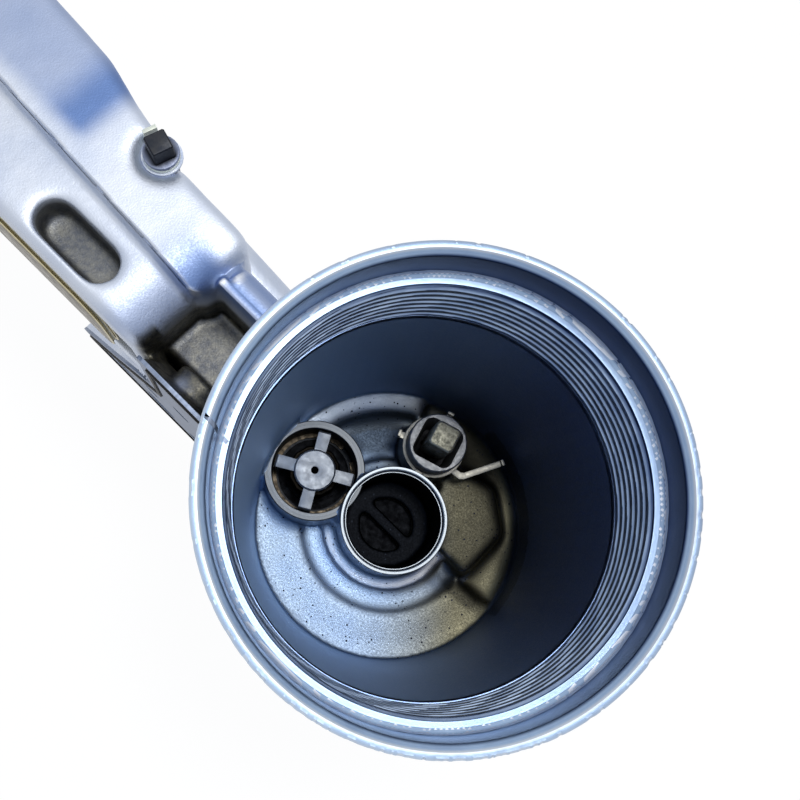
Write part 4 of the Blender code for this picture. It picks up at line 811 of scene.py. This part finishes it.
# %% [markdown]
# ## Turned tops of the tube and the inlet boss
# Both tops are faced on the lathe and dull with oil. The tube's is a thin ring with a step inside it, where
# painted shade lies black, and the boss has one flat ring. A ring turned from a closed profile sits on each,
# just proud of the relaxed skin.

# %% Rings turned from closed profiles
def turned_ring(name, profile, centre, steps, material, spacing=1.0, dark_stain_and_shade=None):
    """A closed profile of (radius, depth) in millimetres carried round an upright axis."""
    angle, radius, depth = carried_round(along(profile + profile[:1], spacing)[:-1], steps)
    marks = {"stain_and_shade": dark_stain_and_shade(radius, depth).ravel()} if dark_stain_and_shade else None
    faces = grid_faces(*angle.shape)
    made = piece(name, on_axis(angle, radius, depth, centre), faces, material, marks=marks)
    outward(made, 28)
    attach(made, "base")


def step_shade(radius, depth):
    """Painted shade on the small upright step between the two rings."""
    return 0.95 * between(radius, 21.9, 22.38) * (depth > 162.3)


tube_profile = [
    (21.3, 165.6), (21.32, 164.45), (21.5, 164.2), (22.12, 164.15), (22.25, 162.6), (22.4, 162.15),
    (22.8, 161.95), (23.8, 161.95), (24.05, 162.2), (24.12, 164.5), (23.4, 166.0), (21.9, 166.0),
]
boss_profile = [
    (19.15, 168.0), (19.2, 166.4), (19.5, 165.95), (22.3, 165.95), (22.65, 166.3), (22.75, 167.6),
    (21.0, 169.0),
]
turned_ring("tube_top", tube_profile, (0, 0), 180, turned_tube, 0.3, step_shade)
turned_ring("inlet_boss_top", boss_profile, INLET, 140, turned_inlet)
print("turned tops made")

# %% [markdown]
# ## The flange's face
# A milling cutter takes the flange flat in one pass, so its edges stay crisp. The sheet is sliced off the
# solid itself: a thin layer, with its ports, bolt holes and seal groove as they are. Three planes cut it
# out: one beside the bowl, one behind the layer and one a hair outside the face.

# %% Slice the layer off the solid
LAYER = 0.0013
HAIR = 0.00006
FLANGE_EDGE = BOWL_X - 0.0574
cuts = (((FLANGE_EDGE, 0, 0), (1, 0, 0)), ((0, LAYER, 0), (0, 1, 0)), ((0, -HAIR, 0), (0, -1, 0)))
net = bmesh.new()
net.from_mesh(casting_mesh)
for place, facing in cuts:
    everything = net.verts[:] + net.edges[:] + net.faces[:]
    cut = bmesh.ops.bisect_plane(net, geom=everything, plane_co=place, plane_no=facing, clear_outer=True)
    rim_edges = [e for e in cut["geom_cut"] if isinstance(e, bmesh.types.BMEdge)]
    bmesh.ops.triangle_fill(net, use_beauty=True, edges=rim_edges)
bmesh.ops.recalc_face_normals(net, faces=net.faces[:])
flange_mesh = bpy.data.meshes.new("flange_face")
net.to_mesh(flange_mesh)
open_edges = sum(not e.is_manifold for e in net.edges)
net.free()
flange_mesh.materials.clear()
flange_mesh.materials.append(milled)
flange_mesh.shade_smooth()
flange_mesh.set_sharp_from_angle(angle=math.radians(30))
flange_face = placed("flange_face", flange_mesh)
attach(flange_face, "base")
print("flange face:", len(flange_mesh.polygons), "faces, open edges:", open_edges)

# %% [markdown]
# ## Small pieces: rounded edges on the CAD shapes
# The cage, the drain valve, the plugs and the cooler have nearly the right shapes in the solids, but a
# pressed or turned edge is never perfectly sharp. A merged copy gets a narrow bevel, whose strip also
# carries another tone of metal, worn and also a painted highlight, so every edge shows a thin line of light
# as the real ones do. Three copies are also drawn out to the photograph: a taller plunger, a wider mouth
# round it, a wider cage.

# %% A copy with rounded, worn edges
BEVEL_ANGLE = math.radians(32)
EDGE_WEAR = 0.8


def rounded_copy(node_name, material, width_mm, dark_stain_and_shade=None, shape=None):
    """Joins the node's corners, bevels its sharp edges and marks the bevel's strip as worn, a tone that also
    stands as a painted highlight. The optional function after the width gives the share of darkening from
    places in millimetres about the bowl's axis: the plug head's black, and painted shade on the other
    pieces. shape moves such places before the bevel."""
    mesh = merged_copy(node_name, node_name + "_skin")
    if shape:
        moved = shape((coordinates(mesh) - BOWL) * 1000) / 1000 + BOWL
        mesh.vertices.foreach_set("co", moved.ravel())
    made = placed(node_name + "_skin", mesh)
    net = bmesh.new()
    net.from_mesh(mesh)
    bmesh.ops.dissolve_limit(net, angle_limit=math.radians(1.0), verts=net.verts[:], edges=net.edges[:])
    sharp = [e for e in net.edges if e.is_manifold and e.calc_face_angle() > BEVEL_ANGLE]
    result = bmesh.ops.bevel(net, geom=sharp, offset=width_mm / 1000, offset_type="OFFSET", segments=2,
                             profile=0.5, affect="EDGES", clamp_overlap=True)
    layer = net.verts.layers.float.new("wear_and_highlight")
    for vertex in {v for face in result["faces"] for v in face.verts}:
        vertex[layer] = EDGE_WEAR
    bmesh.ops.triangulate(net, faces=net.faces[:])
    net.to_mesh(mesh)
    net.free()
    if dark_stain_and_shade:
        set_mark(mesh, "stain_and_shade", dark_stain_and_shade((coordinates(mesh) - BOWL) * 1000))
    mesh.materials.clear()
    mesh.materials.append(material)
    mesh.shade_smooth()
    mesh.set_sharp_from_angle(angle=math.radians(38))
    bodies = frame["record"]["behaviour"]["bodies"]
    body = next(name for name, members in bodies.items() if node_name in members)
    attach(made, body)
    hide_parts(node_name)
    print(made.name, "triangles:", len(mesh.polygons))


# %% Darkening on the copies, painted shade and the plug head's black, from places p in millimetres about the bowl's axis
def below(top, bottom, share):
    """Painted shade that sets in between two depths, low on the piece."""
    return lambda p: share * span(-p[:, 2], top, bottom)


def in_mouth(p):
    """Painted shade inside the sleeve's mouth, below its rim."""
    return 0.95 * span(-p[:, 2], 158.02, 158.25) * (away_from(DRAIN, p[:, 0], p[:, 1]) < 12.6)


def plug_head(p):
    """Black on the plug's square head, none on its collar."""
    axis = (p[:, :2].min(axis=0) + p[:, :2].max(axis=0)) / 2
    return 0.93 * (away_from(axis, p[:, 0], p[:, 1]) < 5.5) * (p[:, 2] > -30)


# %% Shapes drawn out to the photograph
def taller(p):
    """The plunger's head drawn out: its top goes up by 16 mm, and the head grows 11.5 percent wider."""
    p[:, 2] += 16 * (p[:, 2] > -156)
    p[:, :2] += (p[:, :2] - DRAIN) * 0.115 * (p[:, 2] > -168)[:, None]
    return p


def wide_mouth(p):
    """The mouth's upper edge spread outwards, so its walls run down like a funnel."""
    upper_edge = (p[:, 2] > -158.7) & (away_from(DRAIN, p[:, 0], p[:, 1]) < 10.4)
    p[:, :2] += (p[:, :2] - DRAIN) * 0.33 * upper_edge[:, None]
    return p


def wide_cage(p):
    """The cage's disc 8 percent and its arms 15 percent wider, ending just short of the bore."""
    reach = np.maximum(away_from(INLET, p[:, 0], p[:, 1]), 0.01)
    wider = np.minimum(reach * (1.08 + 0.07 * span(reach, 7, 12)), np.maximum(reach, 18.5))
    p[:, :2] += (p[:, :2] - INLET) * (wider / reach - 1)[:, None]
    return p


# %% Make the copies
rounded_copy("inlet_valve_cage", zinc_plate, 0.18, below(167.4, 169.4, 0.93), wide_cage)
rounded_copy("drain_valve_sleeve", zinc_sleeve, 0.3, in_mouth, wide_mouth)
rounded_copy("drain_valve_plunger", sintered, 1.0, below(139, 152, 0.85), taller)
rounded_copy("drain_valve_clip", zinc_clip, 0.2)
rounded_copy("deck_plug", plug_steel, 0.3, plug_head)
rounded_copy("plug_lock_tab", coated, 0.15)
rounded_copy("oil_cooler", brazed, 0.25)
for number in range(1, 5):
    rounded_copy(f"cooler_bolt_{number}", zinc_plate, 0.25)

# %% CAD nodes that keep their own meshes
kept = {
    "housing": cast_outside, "block_seal": nitrile, "cooler_seal_left": nitrile,
    "cooler_seal_right": nitrile, "drain_valve_seal": nitrile, "inlet_valve_seat": oil_black,
    "inlet_valve_disc": oil_black, "inlet_valve_spring": oiled_wire, "inlet_valve_circlip": oiled_wire,
    "drain_valve_spring": oiled_wire, "outlet_valve_disc": oil_black, "outlet_valve_spring": oiled_wire,
    "chamber_plug": zinc_plate, "plug_washer": plug_steel,
}
for name, material in kept.items():
    node = frame["nodes"][name]
    node.data.materials.clear()
    node.data.materials.append(material)
print("nodes with new finishes:", len(kept))

# %% The last line: the view layer is updated
bpy.context.view_layer.update()
